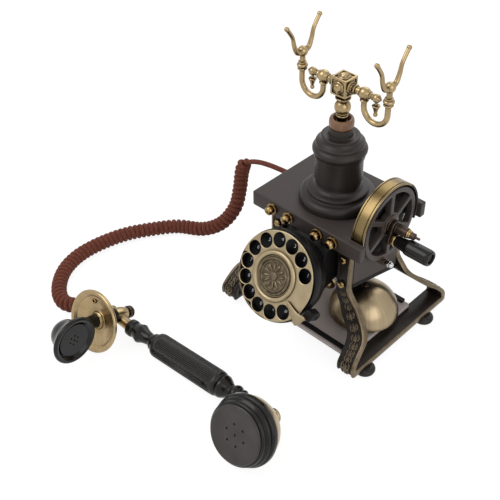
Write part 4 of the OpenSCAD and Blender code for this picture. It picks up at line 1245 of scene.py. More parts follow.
@dataclass(frozen=True)
class SideFrames:
    """The two bent strips with raised borders and cast scrolls."""

    strip_t: float = 6.0
    strip_low: float = 6.7
    half_d: float = 75.0
    out: float = 88.0
    inner: float = 67.6
    leg_in: float = 34.0
    leg_y: float = 40.0
    border: float = 2.0
    raised: float = 0.14
    edge_faces: range = range(6, 13)
    screw_x: float = 40.3
    screw_drops: Pair = (31.0, 61.0)
    scroll_marks: tuple[tuple[int, float, int], ...] = (
        (17, 0.66, 1), (20, 0.74, -1), (23, 0.84, 1), (26, 0.88, -1), (29, 0.88, 1), (32, 0.88, -1),
        (35, 0.86, 1), (38, 0.84, -1), (41, 0.82, 1), (47, 1.0, -1), (51, 0.95, 1),
    )

    @property
    def plate_low(self) -> float:
        """Height at which the strips start."""
        return SIZES.plate_top - SIZES.plate_t

    def side(self) -> list[Vector]:
        """Depth and height of the outer face, from the plate down to the foot.

        Returns:
            Points of the face.
        """
        y, top, deep = self.leg_y, self.plate_low, self.half_d
        return catmull([
            (y, top), (y, top - 30), (y, top - 42), (y + 0.6, top - 57), (y + 2, top - 68),
            (y + 11.8, top - 79), (y + 23.4, top - 88.5), (deep - 3.4, top - 97), (deep, top - 103),
            (deep - 0.4, self.strip_low + 1.5), (deep - 3, self.strip_low)], 6)

    def edges(self) -> tuple[list[Vector], list[Vector]]:
        """Outer and inner edge against height, seen from the front.

        Returns:
            Points of the outer and of the inner edge.
        """
        top, low = self.plate_low, self.strip_low - 1
        half_w, leg_in = SIZES.body_w / 2, self.leg_in
        outer = catmull([
            (half_w, top), (half_w, top - 40), (half_w + 0.6, top - 51), (half_w + 7.6, top - 60.4),
            (half_w + 15.2, top - 68.6), (half_w + 23.8, top - 74), (self.out - 8.2, top - 79),
            (self.out - 4.2, top - 84), (self.out - 2.6, top - 91), (self.out - 1.4, top - 99),
            (self.out, low)], 6)
        inner = catmull([
            (leg_in, top), (leg_in, top - 48), (leg_in + 1, top - 56), (leg_in + 4, top - 63),
            (leg_in + 11.5, top - 72), (leg_in + 20.6, top - 77.5), (self.inner - 5, top - 82.5),
            (self.inner - 1.4, top - 88), (self.inner - 0.4, top - 94), (self.inner, top - 101),
            (self.inner, low)], 6)
        return outer, inner

    @staticmethod
    def across(edge: Sequence[Vector], z: float) -> float:
        """Where an edge lies at a height.

        Args:
            edge: Points of the edge, from the top.
            z: The height.

        Returns:
            Distance from the middle.
        """
        for a, b in zip(edge, edge[1:]):
            if b.y <= z <= a.y:
                return a.x + (b.x - a.x) * (a.y - z) / max(a.y - b.y, 1e-6)
        return edge[0].x if z > edge[0].y else edge[-1].x

    def stations(self) -> list[tuple[Vector, Vector]]:
        """Outer and inner point of the strip's thickness all the way round, in depth and height.

        Returns:
            Pairs of points, from the front's top to the back's.
        """
        leg = self.side()
        floor = self.strip_low + self.strip_t
        front = [(Vector((-p.x, p.y)), Vector((-p.x + self.strip_t, max(p.y, floor)))) for p in leg]
        back = [(Vector((p.x, p.y)), Vector((p.x - self.strip_t, max(p.y, floor)))) for p in reversed(leg)]
        start, end = front[-1][0].x, back[0][0].x
        bar = [start + (end - start) * k / 12 for k in range(1, 12)]
        return front + [(Vector((y, self.strip_low)), Vector((y, floor))) for y in bar] + back

    def build(self) -> None:
        """Makes both frames, their scrolls and their screws."""
        for side, name in ((1.0, "right"), (-1.0, "left")):
            carried(self.strip(name, side), Body.BASE, [f"{name}_side_frame"])
            carried(self.scrolls(name, side), Body.BASE)
        places = [
            AT_PLATE @ moved(s * self.screw_x, f * self.leg_y, -drop)
            @ turned(-f * QUARTER, "X") @ turned(0.5 * s, "Z")
            for s in (-1, 1) for f in (-1, 1) for drop in self.screw_drops]
        head = slotted_head(3.9, 2.4, 0.7, Finishes.SCREW)
        carried(SCATTER.made("leg_screws", head, places, Finishes.SCREW), Body.BASE, ["frame_screws"])

    def section(self, width: float) -> list[Pair]:
        """Section of the strip: place across its width, and depth below its face as a share of its thickness.

        Args:
            width: Width of the strip.

        Returns:
            Points of the section.
        """
        rise, edge = self.raised, self.border
        return [
            (0, 0.5), (0, 0.1), (0.5, 0.0), (edge, 0.0), (edge + 0.5, rise), (width / 2, rise),
            (width - edge - 1.1, rise), (width - edge - 0.6, 0.0), (width - 0.9, 0.0), (width - 0.25, 0.08),
            (width, 0.22), (width, 0.78), (width - 0.3, 0.93), (width - 1, 1.0), (width / 2, 1.0), (0.6, 1.0),
            (0, 0.9)]

    def strip(self, name: str, side: float) -> Object:
        """One frame as a ring of sections along its strip.

        Args:
            name: Name of the side.
            side: 1 on the right, -1 on the left.

        Returns:
            The frame.
        """
        outer, inner = self.edges()
        verts: list[Triple] = []
        stations = self.stations()
        count = len(self.section(10.0))
        for face, back in stations:
            for k in range(count):
                share = self.section(10.0)[k][1]
                point = face.lerp(back, share)
                low, high = self.across(inner, point.y), self.across(outer, point.y)
                verts.append((side * (low + self.section(high - low)[k][0]), point.x, point.y))
        faces = walls(len(stations), count, capped=True)
        obj = finished(f"{name}_frame", verts, faces, AT_BASE, Finishes.FRAME, 50.0)
        obj.data.materials.append(Finishes.EDGE.material())
        for polygon in obj.data.polygons[: (len(stations) - 1) * count]:
            polygon.material_index = int(polygon.index % count in self.edge_faces)
        return obj

    def scrolls(self, name: str, side: float) -> Object:
        """Cast C-scrolls and leaves in the panels of the bent part of each leg.

        Args:
            name: Name of the side.
            side: 1 on the right, -1 on the left.

        Returns:
            The scrolls.
        """
        outer, inner = self.edges()
        leg = self.side()
        places, sizes = [], []
        for f in (-1.0, 1.0):
            for i, size, flip in self.scroll_marks:
                point, ahead = leg[i], leg[min(i + 1, len(leg) - 1)] - leg[i - 1]
                middle = (self.across(inner, point.y) + self.across(outer, point.y)) / 2
                drift = (
                    (self.across(inner, leg[i + 1].y) + self.across(outer, leg[i + 1].y))
                    - (self.across(inner, leg[i - 1].y) + self.across(outer, leg[i - 1].y))
                ) / 2
                along = Vector((side * drift, f * ahead.x, ahead.y)).normalized()
                normal = Vector((0.0, f * -ahead.y, ahead.x)).normalized()
                if normal.y * f < 0:
                    normal = -normal
                cross = normal.cross(along).normalized()
                turn = Matrix((cross * flip, along, normal)).transposed()
                if turn.determinant() < 0:
                    turn = Matrix((-cross * flip, along, normal)).transposed()
                where = Vector((side * middle, f * point.x, point.y)) - normal * 0.6
                places.append(AT_BASE @ Matrix.Translation(where) @ turn.to_4x4())
                sizes.append(size)
        return SCATTER.made(f"{name}_scrolls", self.scroll(), places, Finishes.SCROLL, sizes)

    @staticmethod
    def scroll() -> Object:
        """A pair of C-scrolls with a leaf between them, about 10 mm long, lying on Z 0.

        Returns:
            The ornament.
        """
        parts = []
        for flip in (-1.0, 1.0):
            path = []
            for k in range(25):
                t = k / 24
                a = radians(-80 + 460 * t)
                r = 3.1 * (1 - t) ** 0.9 + 0.5
                path.append(Vector((flip * (2.3 + r * cos(a) * 0.62), r * sin(a) * 1.05, 0.35)))
            radii = [0.35 + 0.55 * sin(pi * min(1.0, 0.15 + k / 26)) for k in range(25)]
            parts.append(swept("curl", path, radii, AT_ORIGIN, Finishes.SCROLL, 8))
        leaf = [Vector((0, y, 0.2)) for y in (-4.6, -3, -1, 1, 3, 4.8)]
        parts.append(
            swept("leaf", leaf, [0.3, 0.9, 0.7, 0.8, 1.1, 0.3], AT_ORIGIN, Finishes.SCROLL, 8, (1, 0, 0)))
        return joined("scroll", parts)


@dataclass(frozen=True)
class Underside:
    """Base plate, feet, gongs and the ringer's parts."""

    half_w: float = 71.0
    front: float = 63.0
    back: float = 35.0
    plate_low: float = 12.7
    plate_t: float = 5.4
    foot_r: float = 10.5
    foot_h: float = 6.7
    foot_x: float = 84.5
    foot_ys: Pair = (-53.0, 42.0)
    gong_x: float = 43.5
    gong_y: float = -5.0
    gong_r: float = 34.6
    gong_h: float = 29.5
    gong_wall: float = 1.6
    gong_gap: float = 3.0

    def build(self) -> None:
        """Makes the pieces below the body."""
        middle, half_d = (self.back - self.front) / 2, (self.back + self.front) / 2
        place = AT_BASE @ moved(0, middle, self.plate_low)
        plate = cut_sheet(
            "floor_plate", box_outline(self.half_w, half_d, 1.5), [], self.plate_t - 0.9, place,
            Finishes.FLOOR_PLATE, 0.8)
        carried(plate, Body.BASE, ["base_plate"])
        painted("base_trim", Finishes.STRIP)
        foot = revolved("foot", [
            (0, 0), (8.6, 0), (9.9, 0.8), (self.foot_r, 2.8), (9.9, 4.8), (8.0, 6.0), (6.4, self.foot_h),
            (0, self.foot_h)], AT_ORIGIN, Finishes.FOOT, steps=48, round_by=0.7)
        places = [AT_BASE @ moved(s * self.foot_x, y, 0) for s in (-1, 1) for y in self.foot_ys]
        carried(SCATTER.made("round_feet", foot, places, Finishes.FOOT), Body.BASE, ["feet"])
        for side, name in ((-1, "left"), (1, "right")):
            self.gong(name, AT_BASE @ moved(
                side * self.gong_x, self.gong_y, self.plate_low + self.plate_t + self.gong_gap))
        self.posts()
        for node, finish in (
            ("bottom_cover", Finishes.STRIP), ("ringer_coils", Finishes.COPPER),
            ("bell_hammer", Finishes.BRASS), ("circuit_board", Finishes.BOARD),
            ("hook_switch", Finishes.BLACK), ("line_jack", Finishes.BLACK)
        ):
            painted(node, finish)

    def gong(self, name: str, place: Matrix) -> None:
        """One gong: a dome with a rolled rim and a hole at its crown.

        Args:
            name: Name of the side.
            place: Frame of the rim.
        """
        r, h, wall = self.gong_r, self.gong_h, self.gong_wall
        dome = [(r * cos(a), h * sin(a)) for a in (radians(85.5 * k / 24) for k in range(25))]
        inside = [
            ((r - wall) * cos(a), (h - wall) * sin(a)) for a in (radians(84.5 * k / 24) for k in range(25))]
        rim: list[Pair] = [(r - 0.5, -0.35), (r - wall * 0.7, -0.35)]
        profile = [*reversed(inside), *reversed(rim), *dome]
        bell = revolved(f"{name}_bell", profile, place, Finishes.GONG, steps=128)
        # Directions round the crown, which lay out the gong's painted reflection bands.
        spin = bell.data.attributes.new("spin", "FLOAT_VECTOR", "POINT")
        for vertex, value in zip(bell.data.vertices, spin.data):
            away = vertex.co / MM - place.translation
            value.vector = (*away.xy.normalized(), 0.0)
        carried(bell, Body.BASE, [f"{name}_gong"])

    def posts(self) -> None:
        """The stud, shoulder, washer and slotted nut of each gong."""
        top = self.plate_low + self.plate_t + self.gong_gap + self.gong_h
        low = self.plate_low + self.plate_t - 0.9
        pieces = []
        for side in (-1, 1):
            place = AT_BASE @ moved(side * self.gong_x, self.gong_y, 0)
            pieces.append(revolved("stud", [
                (0, low), (5.6, low), (5.6, low + 2.4), (4.5, low + 3), (4.5, top - 2.4), (2.4, top - 2.4),
                (2.4, top + 0.1), (5.4, top + 0.1), (5.4, top + 0.7), (0, top + 0.7)
            ], place, Finishes.STRIP, steps=40, round_by=0.3))
            pieces.append(hex_nut("nut", 4.0, 2.7, place @ up(top + 0.7), Finishes.CRANK))
            pieces.append(revolved("tip", [
                (0, top + 3.2), (2.4, top + 3.2), (2.4, top + 4.2), (1.7, top + 4.7), (0, top + 4.7)
            ], place, Finishes.CRANK, steps=24))
        carried(joined("gong_studs", pieces), Body.BASE, ["gong_posts"])


@dataclass(frozen=True)
class Terminals:
    """Knurled terminals on the plate's front face."""

    places: tuple[float, ...] = (-38.4, -18.2, 17.2, 34.8)
    drop: float = 7.0

    def build(self) -> None:
        """Makes one terminal and sets it at each place."""
        disc = cut_sheet("disc", toothed(5.7, 0.4, 36), [], 3.0, up(0.1), Finishes.SCREW, 0.3, 2)
        neck = revolved("neck", [(0, 0), (2.8, 0), (2.8, 5.6), (0, 5.6)], AT_ORIGIN, Finishes.SCREW, steps=24)
        head = slotted_head(4.4, 3.2, 0.8, Finishes.SCREW)
        head.data.transform(Matrix.Translation((0, 0, 5.5 * MM)))
        piece = joined("terminal", [disc, neck, head])
        places = [
            AT_PLATE @ moved(x, -SIZES.plate_d / 2, -self.drop) @ turned(QUARTER, "X") @ turned(0.7 * k, "Z")
            for k, x in enumerate(self.places)
        ]
        carried(SCATTER.made("terminals", piece, places, Finishes.SCREW), Body.BASE, ["terminal_screws"])


# ---- dial


@dataclass(frozen=True)
class Dial:
    """Finger wheel, medallion, numbers, bezel and finger stop."""

    wheel_r: float = 41.9
    wheel_t: float = 1.8
    ring: float = 33.4
    hole_r: float = 6.9
    first: float = 26.6
    step: float = 25.74
    count: int = 12
    medal_r: float = 24.0
    plate_z: float = -6.5
    drum_r: float = 41.0
    drum_back: float = -27.5
    drum_back_r: float = 37.0
    signs: str = "1234567890*#"

    def build(self) -> None:
        """Makes the dial's pieces."""
        holes = []
        for k in range(self.count):
            a = radians(self.first + k * self.step)
            holes.append(circle(self.hole_r, self.ring * cos(a), self.ring * sin(a), 48))
        wheel = cut_sheet(
            "number_wheel", circle(self.wheel_r, steps=160), holes, self.wheel_t, AT_DIAL, Finishes.DIAL,
            0.75, 4)
        carried(wheel, Body.DIAL, ["finger_wheel"])
        self.medallion()
        painted("dial_shaft", Finishes.CRANK)
        painted("number_plate", Finishes.NUMBERS)
        painted("dial_bracket", Finishes.BLACK)
        back, front = self.drum_back, self.plate_z
        profile = softened([
            (6, back), (self.drum_back_r - 1, back), (self.drum_back_r, back + 1), (self.drum_r, front - 4.6),
            (self.wheel_r + 1, front - 4.2), (self.wheel_r + 1.5, front - 3.2),
            (self.wheel_r + 1.5, front + 0.4), (self.wheel_r + 1.1, -1.8), (self.wheel_r + 0.5, -1.3),
            (self.wheel_r - 0.3, -1.6), (self.wheel_r - 0.9, front - 2), (6, front - 2)], 0.5, closed=True)
        drum = revolved("dial_drum", profile, AT_DIAL, Finishes.BLACK, steps=128)
        carried(drum, Body.BASE, ["dial_housing"])
        self.numbers()
        self.stop()

    def medallion(self) -> None:
        """Turned rings round a plain rosette."""
        r, z = self.medal_r, self.wheel_t
        profile = [
            (0, z), (r, z), *arc(r - 2.4, z + 0.1, 2.4, 20, 160, 10), (r - 5.2, z + 0.35), (r - 5.9, z + 0.3),
            (r - 6, z), (0, z - 0.01)]
        ring = revolved("medal_ring", profile, AT_DIAL, Finishes.DIAL, steps=128)
        inner = r - 6.1
        profile = [
            (0, z), (inner, z), (inner, z + 0.9), (inner - 0.7, z + 1.6), (inner - 1.9, z + 1.7),
            (inner - 2.4, z + 1.1), (inner - 3.2, z + 1.1), (inner - 3.7, z + 1.6), (inner - 4.6, z + 1.6),
            (inner - 5.1, z + 0.9), (4.2, z + 0.9), (3.9, z + 1.5), (2.6, z + 2.0), (0, z + 2.1)]
        disc = revolved("medal_disc", profile, AT_DIAL, Finishes.MEDAL, steps=128)
        carried(joined("medallion", [ring, disc]), Body.DIAL, ["dial_medallion"])
        petal = swept(
            "petal", [Vector((x, 0, 0.1)) for x in (4.6, 5.6, 7.4, 9.6, 11.2, 12.2)],
            [0.35, 0.8, 1.25, 1.6, 1.3, 0.4], AT_ORIGIN, Finishes.MEDAL, 10)
        places = [AT_DIAL @ up(z + 0.6) @ turned(TURN * (k + 0.5) / 12, "Z") for k in range(12)]
        carried(SCATTER.made("rosette", petal, places, Finishes.MEDAL), Body.DIAL)
        bead = revolved("bead", arc(0, 0, 0.55, 0, 90, 5) + [(0, 0)], AT_ORIGIN, Finishes.MEDAL, steps=10)
        places = [
            AT_DIAL @ turned(TURN * k / 40, "Z") @ moved(inner - 2.8, 0, z + 1.0) for k in range(40)
        ]
        carried(SCATTER.made("bead_ring", bead, places, Finishes.MEDAL), Body.DIAL)

    def numbers(self) -> None:
        """White digits on the plate behind the holes."""
        parts = []
        for k, sign in enumerate(self.signs[: self.count]):
            a = radians(self.first + k * self.step)
            curve = bpy.data.curves.new("digit", "FONT")
            curve.body = sign
            curve.size = 4.8
            curve.align_x = "CENTER"
            curve.align_y = "CENTER"
            curve.extrude = 0.06
            maker = placed("digit", curve)
            bpy.context.view_layer.update()
            mesh = evaluated(maker)
            bpy.data.objects.remove(maker)
            bpy.data.curves.remove(curve)
            where = (self.ring * cos(a) - 1.8, self.ring * sin(a) - 0.8, self.plate_z + 0.12)
            mesh.transform(Matrix.Scale(MM, 4) @ AT_DIAL @ Matrix.Translation(where))
            parts.append(shown("digit", mesh, Finishes.INK))
        carried(joined("digits", parts), Body.BASE)

    def stop(self) -> None:
        """A pointed brass blade over the wheel's rim and the dark lug that holds it."""
        tip, left, low, right = (22.0, -14.6), (32.9, -23.4), (38.4, -28.2), (43.9, -16.8)
        outline = [
            tip, (27.4, -18.6), left, low, (40.2, -28.6), (42.2, -27.0), (45.2, -22.6), (47.4, -18.6),
            (47.0, -17.2), (45.6, -16.6), right, (40.6, -17.2), (37.4, -17.5), (33.4, -16.6), (29.8, -15.3),
            (26.2, -13.8), (23.4, -13.2)]
        blade = cut_sheet(
            "blade", softened(outline, 0.8, closed=True), [], 1.3, up(2.3), Finishes.DIAL, 0.45, 3)
        for vertex in blade.data.vertices:
            reach = (vertex.co.xy.length / MM - 26.0) / 22.0
            vertex.co.z += 2.2 * max(reach, 0.0) ** 2 * MM
        blade.data.transform(Matrix.Translation(AT_DIAL.translation * MM) @ AT_DIAL.to_3x3().to_4x4())
        place = AT_DIAL @ turned(radians(-18), "Z")
        lug = cut_sheet(
            "lug", box_outline(4.6, 4.4, 2.2), [], 13.0, place @ moved(49.4, 0, -10.6), Finishes.BLACK, 1.2)
        post = revolved(
            "post", [(0, 0), (1.7, 0), (1.7, 2.6), (0, 2.6)], AT_DIAL @ moved(45.2, -18.9, 1.6),
            Finishes.SCREW, steps=24, round_by=0.4)
        carried(joined("finger_blade", [blade, lug, post]), Body.BASE, ["finger_stop"])


# ---- crank side


@dataclass(frozen=True)
class CrankSide:
    """Brass hoop, spoked wheel, crank and the sprung rod beneath it."""

    hoop_r: float = 41.0
    hoop_t: float = 2.0
    hoop_x: float = 48.0
    hoop_w: float = 13.5
    hoop_low: float = 14.0
    # Up to this angle round the axle, the hoop's rear is painted in shade.
    rear: float = radians(137)
    wheel_r: float = 37.0
    wheel_t: float = 7.0
    window_in: float = 12.0
    spokes: int = 6
    throw: float = 11.5
    angle: float = radians(-20)
    arm_t: float = 4.0
    arm_r: float = 6.4
    grip_len: float = 40.0
    grip_r: float = 7.8
    rod_y: float = -5.2
    rod_drop: float = 42.0
    rod_end: float = 70.0

    @property
    def wheel_x(self) -> float:
        """Inner face of the spoked wheel."""
        return self.hoop_x + self.hoop_w - self.wheel_t

    @property
    def arm_x(self) -> float:
        """Inner face of the crank arm."""
        return self.hoop_x + self.hoop_w + 2.0

    def build(self) -> None:
        """Makes the pieces on the right of the base."""
        carried(self.hoop(), Body.BASE, ["crank_arch"])
        carried(self.wheel(), Body.CRANK, ["spoked_wheel"])
        carried(self.arm(), Body.CRANK, ["crank_arm"])
        carried(self.axle(), Body.CRANK, ["crank_axle"])
        carried(self.grip(), Body.GRIP, ["crank_grip"])
        painted("axle_bush", Finishes.CRANK)
        painted("wheel_back", Finishes.STRIP)
        self.rod()

    def hoop(self) -> Object:
        """The band round the wheel, with a dark groove near each edge and painted shade on its rear part.

        Returns:
            The piece.
        """
        r, t, w = self.hoop_r, self.hoop_t, self.hoop_w
        section = [
            (r - t, 0.3), (r - 0.4, 0.0), (r, 0.4), (r, 1.6), (r - 0.5, 1.65), (r - 0.5, 2.5), (r, 2.55),
            (r, w - 2.55), (r - 0.5, w - 2.5), (r - 0.5, w - 1.65), (r, w - 1.6), (r, w - 0.4), (r - 0.4, w),
            (r - t, w - 0.3)]
        groove = {3, 4, 5, 7, 8, 9}
        start = acos(self.hoop_low / r)
        steps = 90
        angles = [start + (TURN - 2 * start) * i / steps for i in range(steps + 1)]
        verts = [(q * cos(a), q * sin(a), z) for a in angles for q, z in section]
        count = len(section)
        faces = walls(steps + 1, count, capped=True)
        obj = finished("hoop", verts, faces, AT_AXLE @ up(self.hoop_x), Finishes.HOOP, 30.0)
        obj.data.materials.append(Finishes.GROOVE.material())
        obj.data.materials.append(Finishes.SHADED_REAR.material())
        for polygon in obj.data.polygons[: steps * count]:
            i, k = divmod(polygon.index, count)
            # Painted shade: the faces of the rear part get the darker material.
            polygon.material_index = 2 if angles[i] < self.rear else int(k in groove)
        return obj

    def wheel(self) -> Object:
        """A disc with a window between each two spokes, and a raised hub.

        Returns:
            The piece.
        """
        windows = []
        half = pi / self.spokes
        outer = self.wheel_r - 5.0
        for k in range(self.spokes):
            middle = TURN * (k + 0.5) / self.spokes
            rim, hub = 2.4 / outer, 2.4 / self.window_in
            points = [
                (outer * cos(middle + a), outer * sin(middle + a))
                for a in (-(half - rim) + 2 * (half - rim) * i / 16 for i in range(17))]
            points += [
                (self.window_in * cos(middle - a), self.window_in * sin(middle - a))
                for a in (-(half - hub) + 2 * (half - hub) * i / 8 for i in range(9))]
            windows.append(softened(points, 1.2, closed=True))
        place = AT_AXLE @ up(self.wheel_x)
        disc = cut_sheet(
            "disc", circle(self.wheel_r, steps=128), windows, self.wheel_t - 0.4, place, Finishes.WHEEL, 0.7)
        hub = revolved(
            "hub", [(3.3, 5), (10.4, 5), (10.4, 7.2), (9.4, 8.0), (7.4, 8.2), (7.0, 8.8), (3.3, 8.8)], place,
            Finishes.CRANK, steps=64, round_by=0.4)
        return joined("wheel_with_hub", [disc, hub])

    def arm(self) -> Object:
        """The crank's plate with a boss at each end and the pin that carries the grip.

        Returns:
            The piece.
        """
        r, far = self.arm_r, self.throw
        outline = [*arc(0, 0, r, 90, 270, 20), *arc(far, 0, r, -90, 90, 20)]
        place = AT_AXLE @ up(self.arm_x) @ turned(self.angle, "Z")
        plate = cut_sheet("plate", outline, [], self.arm_t, place, Finishes.CRANK, 0.9, 4)
        boss = revolved(
            "boss", [(0, -2), (6, -2), (6, 0.4), (0, 0.4)], place, Finishes.CRANK, steps=48, round_by=0.3)
        pin = revolved("pin", [
            (0, 0), (2, 0), (2, self.grip_len - 0.8), (3.3, self.grip_len - 0.6), (3.3, self.grip_len + 0.4),
            (2.6, self.grip_len + 0.8), (0, self.grip_len + 0.9)
        ], place @ moved(far, 0, self.arm_t - 0.4), Finishes.STRIP, steps=32)
        return joined("arm_with_pin", [plate, boss, pin])

    def axle(self) -> Object:
        """The shaft with its collar, washers and end pin.

        Returns:
            The piece.
        """
        face = self.arm_x + self.arm_t
        end = face + 12.4
        profile = softened([
            (0, 48.6), (3.2, 48.6), (3.2, face - 0.2), (5.0, face + 0.1), (5.0, face + 1.2),
            (4.8, face + 1.4), (4.8, end - 0.4), (4.4, end), (3.2, end + 0.1), (3.2, 87.4), (2.6, 88),
            (1.2, 88.2), (1.2, 92.6), (0, 93)], 0.35)
        shaft = revolved("shaft", profile, AT_AXLE, Finishes.CRANK, steps=48)
        rings = softened([
            (3.0, end), (4.2, end + 0.2), (4.2, end + 1.5), (3.5, end + 1.9), (3.9, end + 2.3),
            (3.8, end + 3.5), (3.0, end + 3.8)], 0.3, closed=True)
        nut = revolved("nut", rings, AT_AXLE, Finishes.SCREW, steps=48)
        return joined("axle_with_nut", [shaft, nut])

    def grip(self) -> Object:
        """A tapered neck and a round handle over a brass ferrule.

        Returns:
            The piece.
        """
        place = AT_AXLE @ up(self.arm_x + self.arm_t + 0.3) @ turned(self.angle, "Z")
        place = place @ moved(self.throw, 0, 0)
        top = self.grip_len
        ferrule = revolved(
            "ferrule", [(2.05, 0), (5.7, 0), (6.0, 0.5), (6.0, 3.2), (5.5, 3.8), (2.05, 3.8)], place,
            Finishes.SCREW, steps=48, round_by=0.3)
        profile = softened([
            (2.05, 3.7), (5.0, 3.7), (5.3, 4.6), (5.6, 8.5), (6.2, 12.4), (6.4, 14.4), (7.2, 15.8),
            (self.grip_r - 0.1, 17.4), (self.grip_r, 20), (self.grip_r, top - 2.2), (7.3, top + 0.4),
            (6.6, top + 1.4), (5.4, top + 1.5), (4.8, top + 0.8), (4.6, top - 1.4), (2.05, top - 1.6)
        ], 0.9, closed=True)
        handle = revolved("handle", profile, place, Finishes.GLOSS, steps=64)
        return joined("grip_with_ferrule", [handle, ferrule])

    def rod(self) -> None:
        """Rod, coil spring, nut and dome nut."""
        place = AT_PLATE @ moved(0, self.rod_y, -self.rod_drop) @ turned(QUARTER, "Y")
        wall = SIZES.body_w / 2
        rod = revolved("rod", [
            (0, wall - 3), (1.6, wall - 3), (1.6, wall), (4.4, wall + 0.05), (4.4, wall + 1.0),
            (3.6, wall + 1.5), (1.6, wall + 1.6), (1.6, self.rod_end - 5), (0, self.rod_end - 5)
        ], place, Finishes.SPRING, steps=32)
        nut = hex_nut("nut", 3.5, 3.0, place @ up(self.rod_end - 5), Finishes.STEEL)
        dome = revolved("dome", [
            (0, self.rod_end - 2.2), (2.9, self.rod_end - 2.1), (2.9, self.rod_end - 1),
            *arc(0, self.rod_end - 1, 2.9, 10, 90, 8)], place, Finishes.STEEL, steps=32)
        carried(joined("rod_and_nuts", [rod, nut, dome]), Body.BASE, ["drag_rod"])
        path = helix(
            Vector((0, 0, wall + 2.1)), Vector((0, 0, self.rod_end - 5.5)), 3.0, 6.5, Vector((1, 0, 0)), 18)
        spring = swept("coil_spring", path, 0.75, place, Finishes.SPRING, 8, (1, 0, 0))
        carried(spring, Body.BASE, ["drag_spring"])


# ---- cradle


